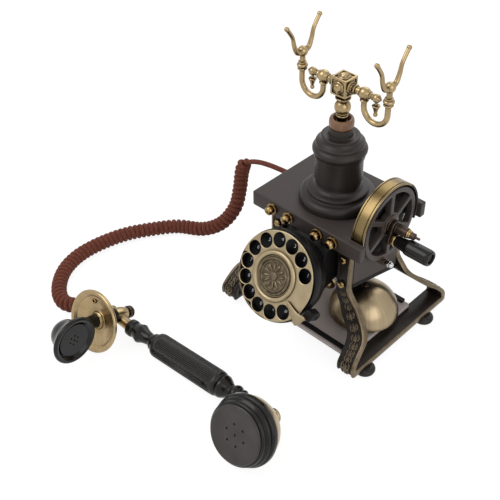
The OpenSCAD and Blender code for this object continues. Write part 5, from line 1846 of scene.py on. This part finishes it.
@dataclass(frozen=True)
class Cradle:
    """Post, cube, arms, hooks and forks that carry the handset."""

    post_r: float = 4.0
    low: float = -30.0
    ball_h: float = 97.1
    bar_h: float = 118.7
    cube: float = 16.5
    arm_x: float = 22.4
    end_x: float = 34.9
    fork_x: float = 47.1
    fork_h: float = 133.6
    hook_r: float = 2.6
    horn_r: float = 2.2
    reach: float = 21.0
    rise: float = 27.3
    spring_wire: float = 0.7
    spring_turns: float = 3.5
    horn: tuple[Pair, ...] = ((0.12, -0.02), (0.37, 0.05), (0.54, 0.31), (0.66, 0.63), (1.0, 1.0))

    def build(self) -> None:
        """Makes the cradle's pieces."""
        carried(self.post(), Body.CRADLE, ["cradle_post"])
        carried(self.block(), Body.CRADLE, ["cradle_cube"])
        carried(self.bar(), Body.CRADLE, ["cradle_bar"])
        for side, name in ((-1, "left"), (1, "right")):
            carried(self.hook(name, side), Body.CRADLE, [f"{name}_hook"])
            carried(self.fork(name, side), Body.CRADLE, [f"{name}_fork"])
        drop = revolved("drop", [
            (0, -0.4), (1.2, -0.4), (1.2, -2.4), (3.4, -3), (3.8, -3.8), (3.2, -4.8), (2.3, -7), (1.4, -10.2),
            (2.0, -11.4), (2.0, -12.8), (1.1, -13.8), (0, -14)
        ], AT_ORIGIN, Finishes.BRASS, steps=32, round_by=0.4)
        places = [AT_COLUMN @ moved(s * self.end_x, 0, self.bar_h - 3.4) for s in (-1, 1)]
        carried(SCATTER.made("hanging_drops", drop, places, Finishes.BRASS), Body.CRADLE, ["pendants"])
        self.spring()

    def spring(self) -> None:
        """The coil spring under the post."""
        low, high = (Vector(corner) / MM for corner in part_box("cradle_spring"))
        wire, middle = self.spring_wire, (low + high) / 2
        start, end = Vector((middle.x, middle.y, low.z + wire)), Vector((middle.x, middle.y, high.z - wire))
        path = helix(start, end, (high.x - low.x) / 2 - wire, self.spring_turns, Vector((1, 0, 0)), 24)
        spring = swept("lift_spring", path, wire, AT_ORIGIN, Finishes.STEEL, 8, (1, 0, 0))
        slotted(spring)
        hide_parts("cradle_spring")
        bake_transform(spring)
        LOG.info("lift_spring between base and cradle, %d faces", len(spring.data.polygons))

    def post(self) -> Object:
        """The rod with its beads, ball and disc.

        Returns:
            The piece.
        """
        r, ball = self.post_r, self.ball_h
        points: list[Pair] = [
            (0, self.low), (r + 3.4, self.low), (r + 3.4, self.low + 2), (r, self.low + 2.1), (r, 87.3)]
        points += arc(r + 0.5, 88.9, 1.05, -90, 90, 6)
        points += [(r - 0.1, 90.1)]
        points += arc(r + 0.2, 91.2, 0.9, -90, 90, 6)
        points += [(r - 0.6, 92.3)]
        points += arc(0, ball, 7.4, -58, 58, 16)
        points += [
            (3.7, ball + 7.0), (3.9, ball + 7.6), (6.2, ball + 8.0), (7.0, ball + 8.7), (7.0, ball + 9.5),
            (6.3, ball + 10.2), (4.4, ball + 10.6), (4.4, self.bar_h - self.cube / 2),
            (0, self.bar_h - self.cube / 2)]
        return revolved("post_with_beads", points, AT_COLUMN, Finishes.BRASS, steps=64)

    def block(self) -> Object:
        """The cube with a raised edge round each face, and a ringed disc on it.

        Returns:
            The piece.
        """
        half = self.cube / 2
        parts = []
        centre = AT_COLUMN @ up(self.bar_h)
        core = box_outline(half - 0.9, half - 0.9, 0.6, 3)
        parts.append(cut_sheet(
            "core", core, [], 2 * half - 1.8, centre @ up(-half + 0.9), Finishes.BRASS, 0.3))
        turns = [
            AT_ORIGIN, turned(pi, "X"), turned(QUARTER, "X"), turned(-QUARTER, "X"), turned(QUARTER, "Y"),
            turned(-QUARTER, "Y")]
        for k, turn in enumerate(turns):
            place = centre @ turn @ up(half - 1.0)
            window = box_outline(half - 1.9, half - 1.9, 1.2, 4)
            parts.append(cut_sheet(
                "edge", box_outline(half - 0.05, half - 0.05, 0.7, 3), [window], 1.0, place, Finishes.BRASS,
                0.35, 2))
            if k == 1:
                continue
            disc = [
                (0, 0), (5.7, 0), (5.9, 0.6), (5.5, 1.4), (4.9, 1.7), (4.4, 1.2), (3.9, 1.3), (3.5, 2.2),
                (2.7, 2.8), (1.6, 2.5), (0, 2.3)]
            parts.append(revolved("disc", disc, place, Finishes.BRASS, steps=48))
        return joined("cube_with_edges", parts)

    def bar(self) -> Object:
        """The two arms with their balls.

        Returns:
            The piece.
        """
        start = self.cube / 2 + 1.2
        arm, end = self.arm_x, self.end_x
        profile: list[Pair] = [
            (0, start), (3.0, start), (3.0, start + 2.2), (4.2, start + 2.5), (4.6, start + 3.4),
            (4.2, start + 4.3), (3.0, start + 4.7), (2.9, arm - 6.2), (3.9, arm - 5.4), (3.9, arm - 4.8)]
        profile += arc(0, arm, 5.6, -48, 48, 12)
        profile += [
            (3.9, arm + 4.8), (3.9, arm + 5.4), (2.6, arm + 6.2), (2.2, end - 5), (3.0, end - 4.0),
            (2.6, end - 3.4)]
        profile += arc(0, end, 3.9, -48, 60, 10)
        profile += [(1.5, end + 3.9), (1.2, end + 4.4), (0, end + 4.5)]
        halves = [
            revolved(
                "half", profile, AT_COLUMN @ up(self.bar_h) @ turned(s * QUARTER, "Y"), Finishes.BRASS,
                steps=56)
            for s in (-1, 1)]
        return joined("arms", halves)

    def hook(self, name: str, side: float) -> Object:
        """A bent rod from an arm's ball down and up to the fork, with its collars.

        Args:
            name: Name of the side.
            side: 1 on the right, -1 on the left.

        Returns:
            The piece.
        """
        bend, mid = (self.fork_x - self.arm_x) / 2, self.bar_h - 11.7
        path = [Vector((side * self.arm_x, 0, z)) for z in (self.bar_h - 4.6, (self.bar_h + mid) / 2)]
        path += [
            Vector((side * (self.arm_x + bend - bend * cos(a)), 0, mid - bend * sin(a)))
            for a in (pi * k / 28 for k in range(29))
        ]
        path += [Vector((side * self.fork_x, 0, z)) for z in (mid + 4, self.fork_h - 12, self.fork_h - 4)]
        rod = swept("rod", path, self.hook_r, AT_COLUMN, Finishes.BRASS, 20, (0, 1, 0))
        top = self.fork_h
        collars = [
            (0, top - 18), (3.0, top - 18), (3.6, top - 17.4), (4.4, top - 16.8), (4.5, top - 16),
            (4.2, top - 15.3), (3.2, top - 15), (4.4, top - 14.6), (5.0, top - 13.6), (5.0, top - 12.4),
            (4.3, top - 11.5), (3.2, top - 11.2), (3.9, top - 10.8), (3.9, top - 9.8), (3.0, top - 9.2),
            (0, top - 9.1)]
        collar = revolved(
            "collar", collars, AT_COLUMN @ moved(side * self.fork_x, 0, 0), Finishes.BRASS, steps=48)
        low = self.bar_h - 7.4
        ring = revolved(
            "ring",
            [(0, low), (3.3, low), (3.9, low + 0.7), (3.9, low + 1.6), (3.2, low + 2.4), (0, low + 2.6)],
            AT_COLUMN @ moved(side * self.arm_x, 0, 0), Finishes.BRASS, steps=40)
        return joined(f"{name}_bent_rod", [rod, collar, ring])

    def fork(self, name: str, side: float) -> Object:
        """A ball with two curved horns.

        Args:
            name: Name of the side.
            side: 1 on the right, -1 on the left.

        Returns:
            The piece.
        """
        place = AT_COLUMN @ moved(side * self.fork_x, 0, self.fork_h)
        ball = revolved(
            "ball", [(0, -4.8), *arc(0, 0, 4.8, -85, 85, 16), (0, 4.8)], place, Finishes.BRASS, steps=48)
        parts = [ball]
        for s in (-1, 1):
            path = catmull([(0, s * y * self.reach, z * self.rise) for y, z in self.horn], 10)
            count = len(path)
            radii = [self.horn_r * (1.22 - 0.34 * min(1.0, 1.5 * k / count)) for k in range(count)]
            parts.append(swept("horn", path, radii, place, Finishes.BRASS, 18, (1, 0, 0)))
            tip = moved(0, s * self.reach, self.rise)
            parts.append(revolved(
                "tip", [(0, -2.3), *arc(0, 0, 2.3, -80, 80, 10), (0, 2.3)], place @ tip, Finishes.BRASS,
                steps=28))
        return joined(f"{name}_horns", parts)


# ---- handset


@dataclass(frozen=True)
class Handset:
    """Grip, mouthpiece and receiver."""

    grip_r: float = 12.4
    grip_half: float = 42.5
    ribs: int = 46
    rib_depth: float = 0.6
    recess_at: tuple[float, ...] = (-35.5, 31.0)
    recess_turn: float = radians(-81.0)
    recess_r: float = 3.0
    recess_depth: float = 2.2
    tube_r: float = 5.6
    mouth: Triple = (17.0, -4.0, 69.7)
    mouth_r: float = 24.0
    face_h: float = 53.0
    stem_r: float = 4.6

    def build(self) -> None:
        """Makes the handset's pieces."""
        carried(self.grip(), Body.HANDSET, ["handset_grip"])
        carried(self.collars(), Body.HANDSET, ["handset_collars"])
        end = Vector((-SIZES.barrel_x, SIZES.barrel_up * 0.4, 0))
        tube = swept(
            "brass_tube", [Vector((-79, 0, 0)), Vector((-79, 0, 0)).lerp(end, 0.5), end], self.tube_r,
            AT_HANDSET, Finishes.BRASS, 32, dome=False)
        carried(tube, Body.HANDSET, ["handset_tube"])
        carried(self.barrel(), Body.HANDSET, ["mouthpiece_barrel"])
        carried(self.dish(), Body.HANDSET, ["mouthpiece_dish"])
        self.horn()
        self.receiver()
        gland = revolved("gland", [
            (0, 5), (4.8, 5), (4.8, 7.8), (5.4, 8.2), (5.4, 10.6), (4.6, 11.2), (4.0, 12), (3.7, 14), (0, 14)
        ], AT_BARREL @ turned(-QUARTER, "Y"), Finishes.BRASS, steps=40, round_by=0.35)
        carried(gland, Body.HANDSET, ["handset_gland"])

    def grip(self) -> Object:
        """The ribbed handle, plain at its rounded shoulders.

        Returns:
            The piece.
        """
        half, r = self.grip_half, self.grip_r
        per_rib = 6
        steps = self.ribs * per_rib
        rings = [
            (0.0, half, 0.0), (r - 3.4, half, 0.0), (r - 1.7, half - 0.6, 0.0), (r - 0.7, half - 1.8, 0.0),
            (r - 0.15, half - 3.4, 0.0), (r, half - 4.6, 0.0), (r, half - 5.8, 0.4), (r, half - 7.0, 1.0)]
        rings = rings + [(q, -z, share) for q, z, share in reversed(rings)]
        verts = []
        for q, z, share in rings:
            for k in range(steps):
                wave = 0.5 - 0.5 * cos(TURN * k / per_rib)
                radius = max(q - self.rib_depth * share * (1 - wave) ** 2, 0.0)
                verts.append((radius * cos(TURN * k / steps), radius * sin(TURN * k / steps), -z))
        handle = finished("handle", verts, walls(len(rings), steps), AT_GRIP, Finishes.HANDSET, 60.0)
        for x in self.recess_at:
            floor = AT_GRIP @ up(x) @ turned(self.recess_turn, "Z") @ moved(0, self.recess_depth - r, 0)
            outline = [(0, 0), (self.recess_r - 0.4, 0), (self.recess_r, 0.4), (self.recess_r, 5), (0, 5)]
            place = floor @ turned(QUARTER, "X")
            drilled(handle, revolved("recess", outline, place, Finishes.HANDSET, steps=32))
        return handle

    def collars(self) -> Object:
        """The turned black pieces at each end of the handle.

        Returns:
            The piece.
        """
        half, far = self.grip_half, SIZES.receiver_x - 4
        left = [
            (0, -80), (7.6, -80), (8.5, -79.2), (8.7, -77), (8.7, -74.6), (8.2, -73.4), (7.2, -72.8),
            (7.0, -71.8), (7.8, -71), (8.4, -68.6), (9.7, -64.6), (9.8, -63.8), (9.2, -62.8), (7.8, -59.6),
            (6.8, -56), (6.3, -52.4), (6.3, -50), (7.2, -47.6), (8.6, -46.6), (9, -half), (0, -half)]
        right = [
            (0, half), (9, half), (11.2, half + 0.5), (11.3, 44.4), (10.9, 46.4), (9.2, 49.4), (7.6, 51.8),
            (6.8, 54), (6.9, 55.4), (8.2, 57), (9.1, 59), (9.2, 60.6), (8.6, 62.4), (7.4, 63.8), (7.0, 64.8),
            (7.7, 65.6), (8.3, 66.8), (8.2, 68), (7.3, 69.2), (6.6, 70), (6.6, far - 11),
            (self.stem_r, far - 8), (self.stem_r, far), (0, far)]
        pieces = [
            revolved("turned", points, AT_GRIP, Finishes.GLOSS, steps=80, round_by=0.5)
            for points in (left, right)]
        return joined("grip_collars", pieces)

    def barrel(self) -> Object:
        """The brass barrel with a knurled ring and an end nut.

        Returns:
            The piece.
        """
        profile = softened([
            (0, -11.4), (4.1, -11.4), (5.2, -10.4), (5.9, -9), (6.7, -6.6), (7.4, -2.4), (7.4, 3), (6.5, 7.6),
            (5.1, 11), (5.2, 12.6), (6.2, 14.4), (8.4, 17.2), (11, 20), (12, 22), (0, 22)], 0.5)
        end = softened([
            (0, -20), (3.0, -19.8), (4.0, -18.8), (4.2, -17.4), (6.0, -16.8), (6.3, -15.9), (6.0, -15.1),
            (5.2, -14.7), (5.2, -14.3), (6.2, -13.9), (6.5, -13.0), (6.2, -12.0), (4.4, -11.3), (0, -11.2)
        ], 0.3)
        cap = revolved("cap", end, AT_BARREL, Finishes.CRANK, steps=64)
        body = revolved("turned", profile, AT_BARREL, Finishes.BRASS, steps=80)
        ring = cut_sheet(
            "knurled", toothed(7.9, 0.4, 44), [], 3.0, AT_BARREL @ up(6.0), Finishes.HANDSET, 0.4, 2)
        return joined("barrel", [body, ring, cap])

    def dish(self) -> Object:
        """The shallow dish with a rolled rim under the mouthpiece.

        Returns:
            The piece.
        """
        r = SIZES.dish_r
        profile = [(0, 0), (11, 0), (13, 0.6), (17, 3.0), (21.5, 5.4), (r - 4, 8.4), (r - 2.4, 8.9)]
        profile += arc(r - 2.3, 11.2, 2.3, -80, 100, 12)
        profile += [
            (r - 4.2, 12.7), (r - 5.6, 11.5), (r - 6.4, 10.9), (r - 6.7, 10.4), (r - 7.2, 10.5), (20.5, 8.6),
            (15.4, 6.6), (11.4, 5.5), (9.6, 5.5), (8.8, 6.2), (8.6, 7.6), (7.6, 8.2), (7.2, 9.2), (0, 9.2)]
        dish = revolved(
            "dish", profile, AT_BARREL @ up(SIZES.dish_z), Finishes.BRASS, steps=128, sharp=55,
            round_by=0.35)
        place = AT_BARREL @ moved(-6.5, 18.7, SIZES.dish_z + 7.4)
        bush = revolved(
            "bush", [(1.3, 0), (2.6, 0), (2.6, 2.3), (2.1, 2.8), (1.5, 2.6), (1.3, 1.8)], place,
            Finishes.SCREW, steps=28, round_by=0.3)
        bore = revolved("bore", [(0, 0), (1.6, 0), (1.6, 1.3), (0, 1.3)], place, Finishes.BLACK, steps=20)
        return joined("rimmed_dish", [dish, bush, bore])

    def horn(self) -> None:
        """The black elbow, its bowl and the pierced face in it."""
        low = SIZES.dish_z + 8.6
        route = [
            (0, 0, low), (0, -0.2, low + 5), (0, -0.6, 44), (-0.4, -1.2, 52), (-1.2, -2.4, 60),
            (0.6, -3.4, 66.4), (4.5, -3.9, 69.2), (7, -4, 69.7)]
        path = catmull(route, 6)
        count = len(path)
        radii = [
            7.2 - 1.4 * min(1.0, 3.0 * k / count) + 1.6 * max(0.0, (k / count - 0.62) / 0.38)
            for k in range(count)]
        neck = swept("neck", path, radii, AT_BARREL, Finishes.GLOSS, 36, (1, 0, 0), dome=False)
        r = self.mouth_r
        bowl = [
            (0, -26), (3.6, -25.7), (6.6, -24.9), (9.4, -23.4), (12, -21), (13.8, -18.4), (15.2, -15),
            (16, -12.4), (17, -10), (18.6, -7.6), (20.8, -5.4), (r - 1.2, -3.8)]
        bowl += arc(r - 2.2, -1.5, 2.2, -50, 96, 10)
        bowl += [(r - 4.2, 0.2), (r - 5.0, -0.6), (17.6, -2.6), (16.9, -2.8), (16.6, -3.3), (0, -3.3)]
        place = AT_BARREL @ Matrix.Translation(self.mouth) @ turned(QUARTER, "Y")
        cup = revolved("bowl", bowl, place, Finishes.GLOSS, steps=128, sharp=50)
        carried(joined("horn", [neck, cup]), Body.HANDSET, ["mouthpiece_horn"])
        face = self.pierced("mouth_face", 16.5, 4.6, 0.8, 1.2, place @ up(-3.0), Finishes.GLOSS)
        carried(face, Body.HANDSET, ["mouthpiece_face"])

    @staticmethod
    def pierced(
        name: str, radius: float, ring: float, hole_r: float, depth: float, place: Matrix, finish: Finish
    ) -> Object:
        """A disc with one hole in its middle and six round it.

        Args:
            name: Name of the piece.
            radius: Radius of the disc.
            ring: Distance of the six from the middle.
            hole_r: Radius of the holes.
            depth: Height of the disc.
            place: Frame of the disc.
            finish: Surface of the piece.

        Returns:
            The disc.
        """
        holes = [circle(hole_r, steps=20)]
        holes += [
            circle(hole_r, ring * cos(a), ring * sin(a), 20)
            for a in (TURN * k / 6 + pi / 6 for k in range(6))]
        return cut_sheet(name, circle(radius, steps=96), holes, depth, place, finish, 0.25, 2)

    def receiver(self) -> None:
        """The brass cup, black rings, pierced cap and brass knob."""
        low, r = SIZES.ring_low, SIZES.ring_r
        outside = [
            (0, 6), (7.6, 6), (8.6, 6.4), (11.5, 8.5), (16, 12), (21, 16.5), (25.2, 21), (27.8, 25), (30, 30),
            (30.8, 32.4), (31, low - 5), (30.6, low - 4.4)]
        inside = [
            (28, low - 4.4), (27.6, 31), (25.6, 26.4), (23.2, 22.8), (19.2, 18.4), (14.6, 14.6), (10, 11.4),
            (0, 10)]
        place = AT_RECEIVER
        cup = revolved("cup", outside + inside, place, Finishes.BRASS, steps=128, sharp=50)
        carried(cup, Body.HANDSET, ["receiver_cup"])
        rings: list[Pair] = [(24, low - 4.4), (r - 0.9, low - 4.4)]
        rings += arc(r - 2.2, low - 2.2, 2.2, -70, 0, 6)
        rings += arc(r - 2.2, low + 0.2, 2.2, 0, 80, 6)
        rings += [(r - 2.6, low + 2.7), (r - 2.7, low + 3.2)]
        rings += arc(r - 3.3, low + 4.8, 1.6, -50, 60, 6)
        rings += [(r - 3.9, low + 6.7), (r - 4.5, low + 7.3), (r - 4.4, low + 8.0)]
        rings += arc(r - 5.6, low + 10.0, 2.0, -40, 80, 6)
        rings += [(24, low + 12.2)]
        rings_piece = revolved("cap_rings", rings, place, Finishes.GLOSS, steps=128)
        carried(rings_piece, Body.HANDSET, ["receiver_rings"])
        face = self.dished(place @ up(low + 12.2), self.face_h - low - 12.2)
        carried(face, Body.HANDSET, ["receiver_face"])
        knob = softened([
            (0, -6), (5.2, -6), (5.2, -4.4), (6.2, -3.8), (6.2, 0.6), (7.2, 1.2), (7.8, 2.4), (7.8, 3.6),
            (6.9, 4.9), (4.6, 5.6), (2, 5.95), (0, 6)], 0.5)
        bead = [(5.6, -3.9), (6.6, -3.8), (7.3, -2.9), (7.4, -1.6), (7.0, -0.2), (6.2, 0.5), (5.6, 0.5)]
        end = place @ turned(pi, "X")
        pieces = [
            revolved("turned", knob, end, Finishes.BRASS, steps=64),
            revolved("bead", bead, end, Finishes.CRANK, steps=64, round_by=0.4)]
        carried(joined("cup_knob", pieces), Body.HANDSET, ["receiver_knob"])

    def dished(self, place: Matrix, rise: float) -> Object:
        """The receiver's cap: slightly hollow, with seven holes.

        Args:
            place: Frame of the cap's lower face.
            rise: Height of the cap.

        Returns:
            The cap.
        """
        holes = [(0.0, 0.0)] + [
            (9.85 * cos(a), 9.85 * sin(a)) for a in (TURN * k / 6 + radians(51) for k in range(6))]
        hole_r = 1.2
        edge = softened([(25.8, rise - 0.35), (26.6, rise - 1.0), (26.7, 0.3), (24, 0), (0, 0)], 0.3)
        hollow = [(r, rise - 0.3 - 1.5 * (1 - (r / 25.4) ** 2)) for r in (12.6, 15.2, 17.8, 20.2, 22.6, 24.4)]
        body = revolved(
            "edge", [(0, rise - 2.3), (12.6, rise - 2.3), *hollow, (25.4, rise - 0.25), *edge], place,
            Finishes.CAP, steps=128, sharp=50)
        plate = cut_sheet(
            "plate", circle(12.7, steps=96), [circle(hole_r, x, y, 24) for x, y in holes], 1.4,
            place @ up(rise - 2.83), Finishes.CAP, 0.05, 1)
        return joined("pierced_cap", [body, plate])


# ---- cord


@dataclass(frozen=True)
class HandsetCord:
    """Plain lead from the body, then a curly length down to the table and along it to the handset."""

    diameter: float = 5.4
    curl: float = 16.5
    pitch: float = 5.5
    sides: int = 10
    per_turn: int = 16
    lead: tuple[Triple, ...] = (
        (-57.5, 24, 109), (-70, 24, 109), (-84, 24.1, 108.4), (-98, 24.3, 107.2), (-111, 24.5, 105.6),
        (-124, 24.3, 103.2), (-134, 23.6, 100.2), (-141, 22.6, 97),
    )
    coil: tuple[Triple, ...] = (
        (-140, 22.8, 97.6), (-146.5, 21, 91), (-148.5, 19, 80), (-147.6, 14.6, 62), (-147.5, 6.6, 42),
        (-155.5, -6.6, 23.5), (-173.5, -19.5, 12.2), (-200.5, -32.4, 8.7), (-216, -51.4, 8.5),
        (-233, -80.2, 8.5), (-241.6, -109.6, 8.5), (-243.4, -138.8, 8.5), (-236.8, -163.2, 8.5),
        (-223.4, -182, 8.5), (-206, -195, 8.5), (-190, -198, 9), (-174, -190.5, 11.4), (-160, -180.6, 14),
        (-147.4, -176.4, 15.3))

    def route(self) -> list[Vector]:
        """The wire's middle line: straight first, then wound round the curl's own line.

        Returns:
            Points of the line, in millimetres.
        """
        straight = resampled(catmull(self.lead, 8), 2.5)
        line = resampled(catmull(self.coil, 12), 0.25)
        side = Vector((0.0, 1.0, 0.0))
        across = frames_along(line, side)
        length = lengths_along(line)[-1]
        radius = (self.curl - self.diameter) / 2
        turns = round(length / self.pitch)
        count = turns * self.per_turn
        wound = []
        for k in range(count + 1):
            share = k / count
            i = min(int(share * (len(line) - 1)), len(line) - 1)
            s = share * length
            ramp = min(1.0, s / 9.0, (length - s) / 7.0)
            grow = radius * (3 * ramp**2 - 2 * ramp**3)
            a = TURN * k / self.per_turn
            wound.append(line[i] + grow * (cos(a) * across[i][0] + sin(a) * across[i][1]))
        return straight[:-1] + wound[2:]

    def build(self) -> None:
        """Makes the cord and its glands' ends."""
        route = self.route()
        verts: list[Vector] = []
        across = frames_along(route, Vector((0.0, 0.0, 1.0)))
        travelled = lengths_along(route)
        sides, r = self.sides, self.diameter / 2
        for point, pair in zip(route, across):
            verts += [(AT_BASE @ p) * MM for p in ring_points(point, r, pair, sides)]
        faces = walls(len(route), sides)
        faces += [tuple(reversed(range(sides))), tuple((len(route) - 1) * sides + k for k in range(sides))]
        mesh = bpy.data.meshes.new("curly_cord")
        mesh.from_pydata(verts, [], faces)
        uv = mesh.uv_layers.new(name="along")
        for polygon in mesh.polygons[: (len(route) - 1) * sides]:
            i, k = divmod(polygon.index, sides)
            corners = ((i, k), (i, k + 1), (i + 1, k + 1), (i + 1, k))
            for loop, (ring, turn) in zip(polygon.loop_indices, corners):
                uv.data[loop].uv = (travelled[ring], turn / sides * TURN * r)
        cord = shown("curly_cord", mesh, Finishes.CORD, 60.0)
        slotted(cord)
        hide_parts("cord_lead", "cord_coil")
        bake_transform(cord)
        painted("cord_gland", Finishes.BRASS)
        LOG.info("cord %.3f m", travelled[-1] * MM)


# ---- studio


@dataclass(frozen=True)
class Studio:
    """Camera, lights, floor and white surroundings."""

    camera_at: Triple = (394.71, -515.25, 476.77)
    right: Triple = (0.71739, 0.69649, -0.01598)
    up: Triple = (-0.43948, 0.47023, 0.76534)
    back: Triple = (0.54056, -0.54202, 0.64343)
    lens: float = 61.22
    sensor: float = 36.0
    floor: float = 12.0
    floor_white: float = 0.93
    ambient: float = 0.55
    glow: float = 0.89
    lights: tuple[tuple[str, Triple, float, float], ...] = (
        ("key_light", (-0.55, -0.75, 1.35), 1.0, 9.0),
        ("fill_light", (1.05, -0.25, 0.75), 0.9, 3.4),
        ("back_light", (-0.3, 1.1, 1.0), 1.0, 4.5),
    )

    def build(self) -> None:
        """Makes the studio."""
        self.camera()
        self.world()
        self.ground()
        for name, where, size, watts in self.lights:
            self.light(name, where, size, watts)

    def camera(self) -> None:
        """A camera in front of the object, to the right and above."""
        data = bpy.data.cameras.new("camera")
        data.lens = self.lens
        data.sensor_width = self.sensor
        camera = placed("camera", data)
        turn = Matrix((self.right, self.up, self.back)).transposed()
        camera.matrix_world = Matrix.Translation((AT_PLATE @ Vector(self.camera_at)) * MM) @ turn.to_4x4()
        bpy.context.scene.camera = camera

    @staticmethod
    def light(name: str, where: Triple, size: float, watts: float) -> None:
        """A square soft light that points at the object.

        Args:
            name: Name of the light.
            where: Its place, in metres.
            size: Its side, in metres.
            watts: Its power.
        """
        data = bpy.data.lights.new(name, "AREA")
        data.size = size
        data.energy = watts
        lamp = placed(name, data)
        lamp.location = where
        aim = Vector((0.0, 0.0, 0.1)) - lamp.location
        lamp.rotation_euler = aim.to_track_quat("-Z", "Y").to_euler()

    @staticmethod
    def seen(tree: NodeTree) -> NodeSocket:
        """A socket that is 1 where the camera looks, straight on, in a reflection or through glass.

        Args:
            tree: The node tree that needs it.

        Returns:
            The socket.
        """
        rays = tree.nodes.new("ShaderNodeLightPath").outputs
        found = rays["Is Camera Ray"]
        for ray in ("Is Glossy Ray", "Is Transmission Ray"):
            total = filled(tree, tree.nodes.new("ShaderNodeMath"), {0: found, 1: rays[ray]})
            total.operation = "ADD"
            total.use_clamp = True
            found = total.outputs[0]
        return found

    def world(self) -> None:
        """Soft surroundings that the camera and reflections see as white."""
        world = bpy.data.worlds.new("white_room")
        bpy.context.scene.world = world
        world.use_nodes = True
        tree = world.node_tree
        tree.nodes.clear()
        inputs = {"Value": self.seen(tree), "To Min": self.ambient, "To Max": 1.0}
        strength = filled(tree, tree.nodes.new("ShaderNodeMapRange"), inputs)
        inputs = {"Color": (1.0, 1.0, 1.0, 1.0), "Strength": strength.outputs[0]}
        light = filled(tree, tree.nodes.new("ShaderNodeBackground"), inputs)
        filled(tree, tree.nodes.new("ShaderNodeOutputWorld"), {"Surface": light.outputs[0]})

    def ground(self) -> None:
        """A white floor that keeps the object's shadow."""
        half = self.floor / 2
        mesh = bpy.data.meshes.new("floor")
        corners = [(-half, -half, 0), (half, -half, 0), (half, half, 0), (-half, half, 0)]
        mesh.from_pydata(corners, [], [(0, 1, 2, 3)])
        graph = Graph("floor_white")
        seen = self.seen(graph.tree)
        bright = (1.0 - self.glow) / self.ambient
        graph.dress({
            "Base Color": graph.ranged(seen, 0.0, 1.0, self.floor_white, bright),
            "Roughness": 0.9, "Specular IOR Level": 0.0, "Emission Color": (1.0, 1.0, 1.0, 1.0),
            "Emission Strength": graph.ranged(seen, 0.0, 1.0, 0.0, self.glow),
        })
        mesh.materials.append(graph.material)
        placed("floor", mesh)


ASSEMBLIES = (
    PlateAndColumn(), BodyCase(), SideFrames(), Underside(), Terminals(), Dial(), CrankSide(), Cradle(),
    Handset(), HandsetCord())


def main() -> None:
    """Builds the telephone and its studio."""
    logging.basicConfig(level=logging.INFO, format="%(message)s")
    bpy.context.scene.view_settings.view_transform = "Standard"
    for assembly in ASSEMBLIES:
        assembly.build()
    Studio().build()


if __name__ == "__main__":
    main()
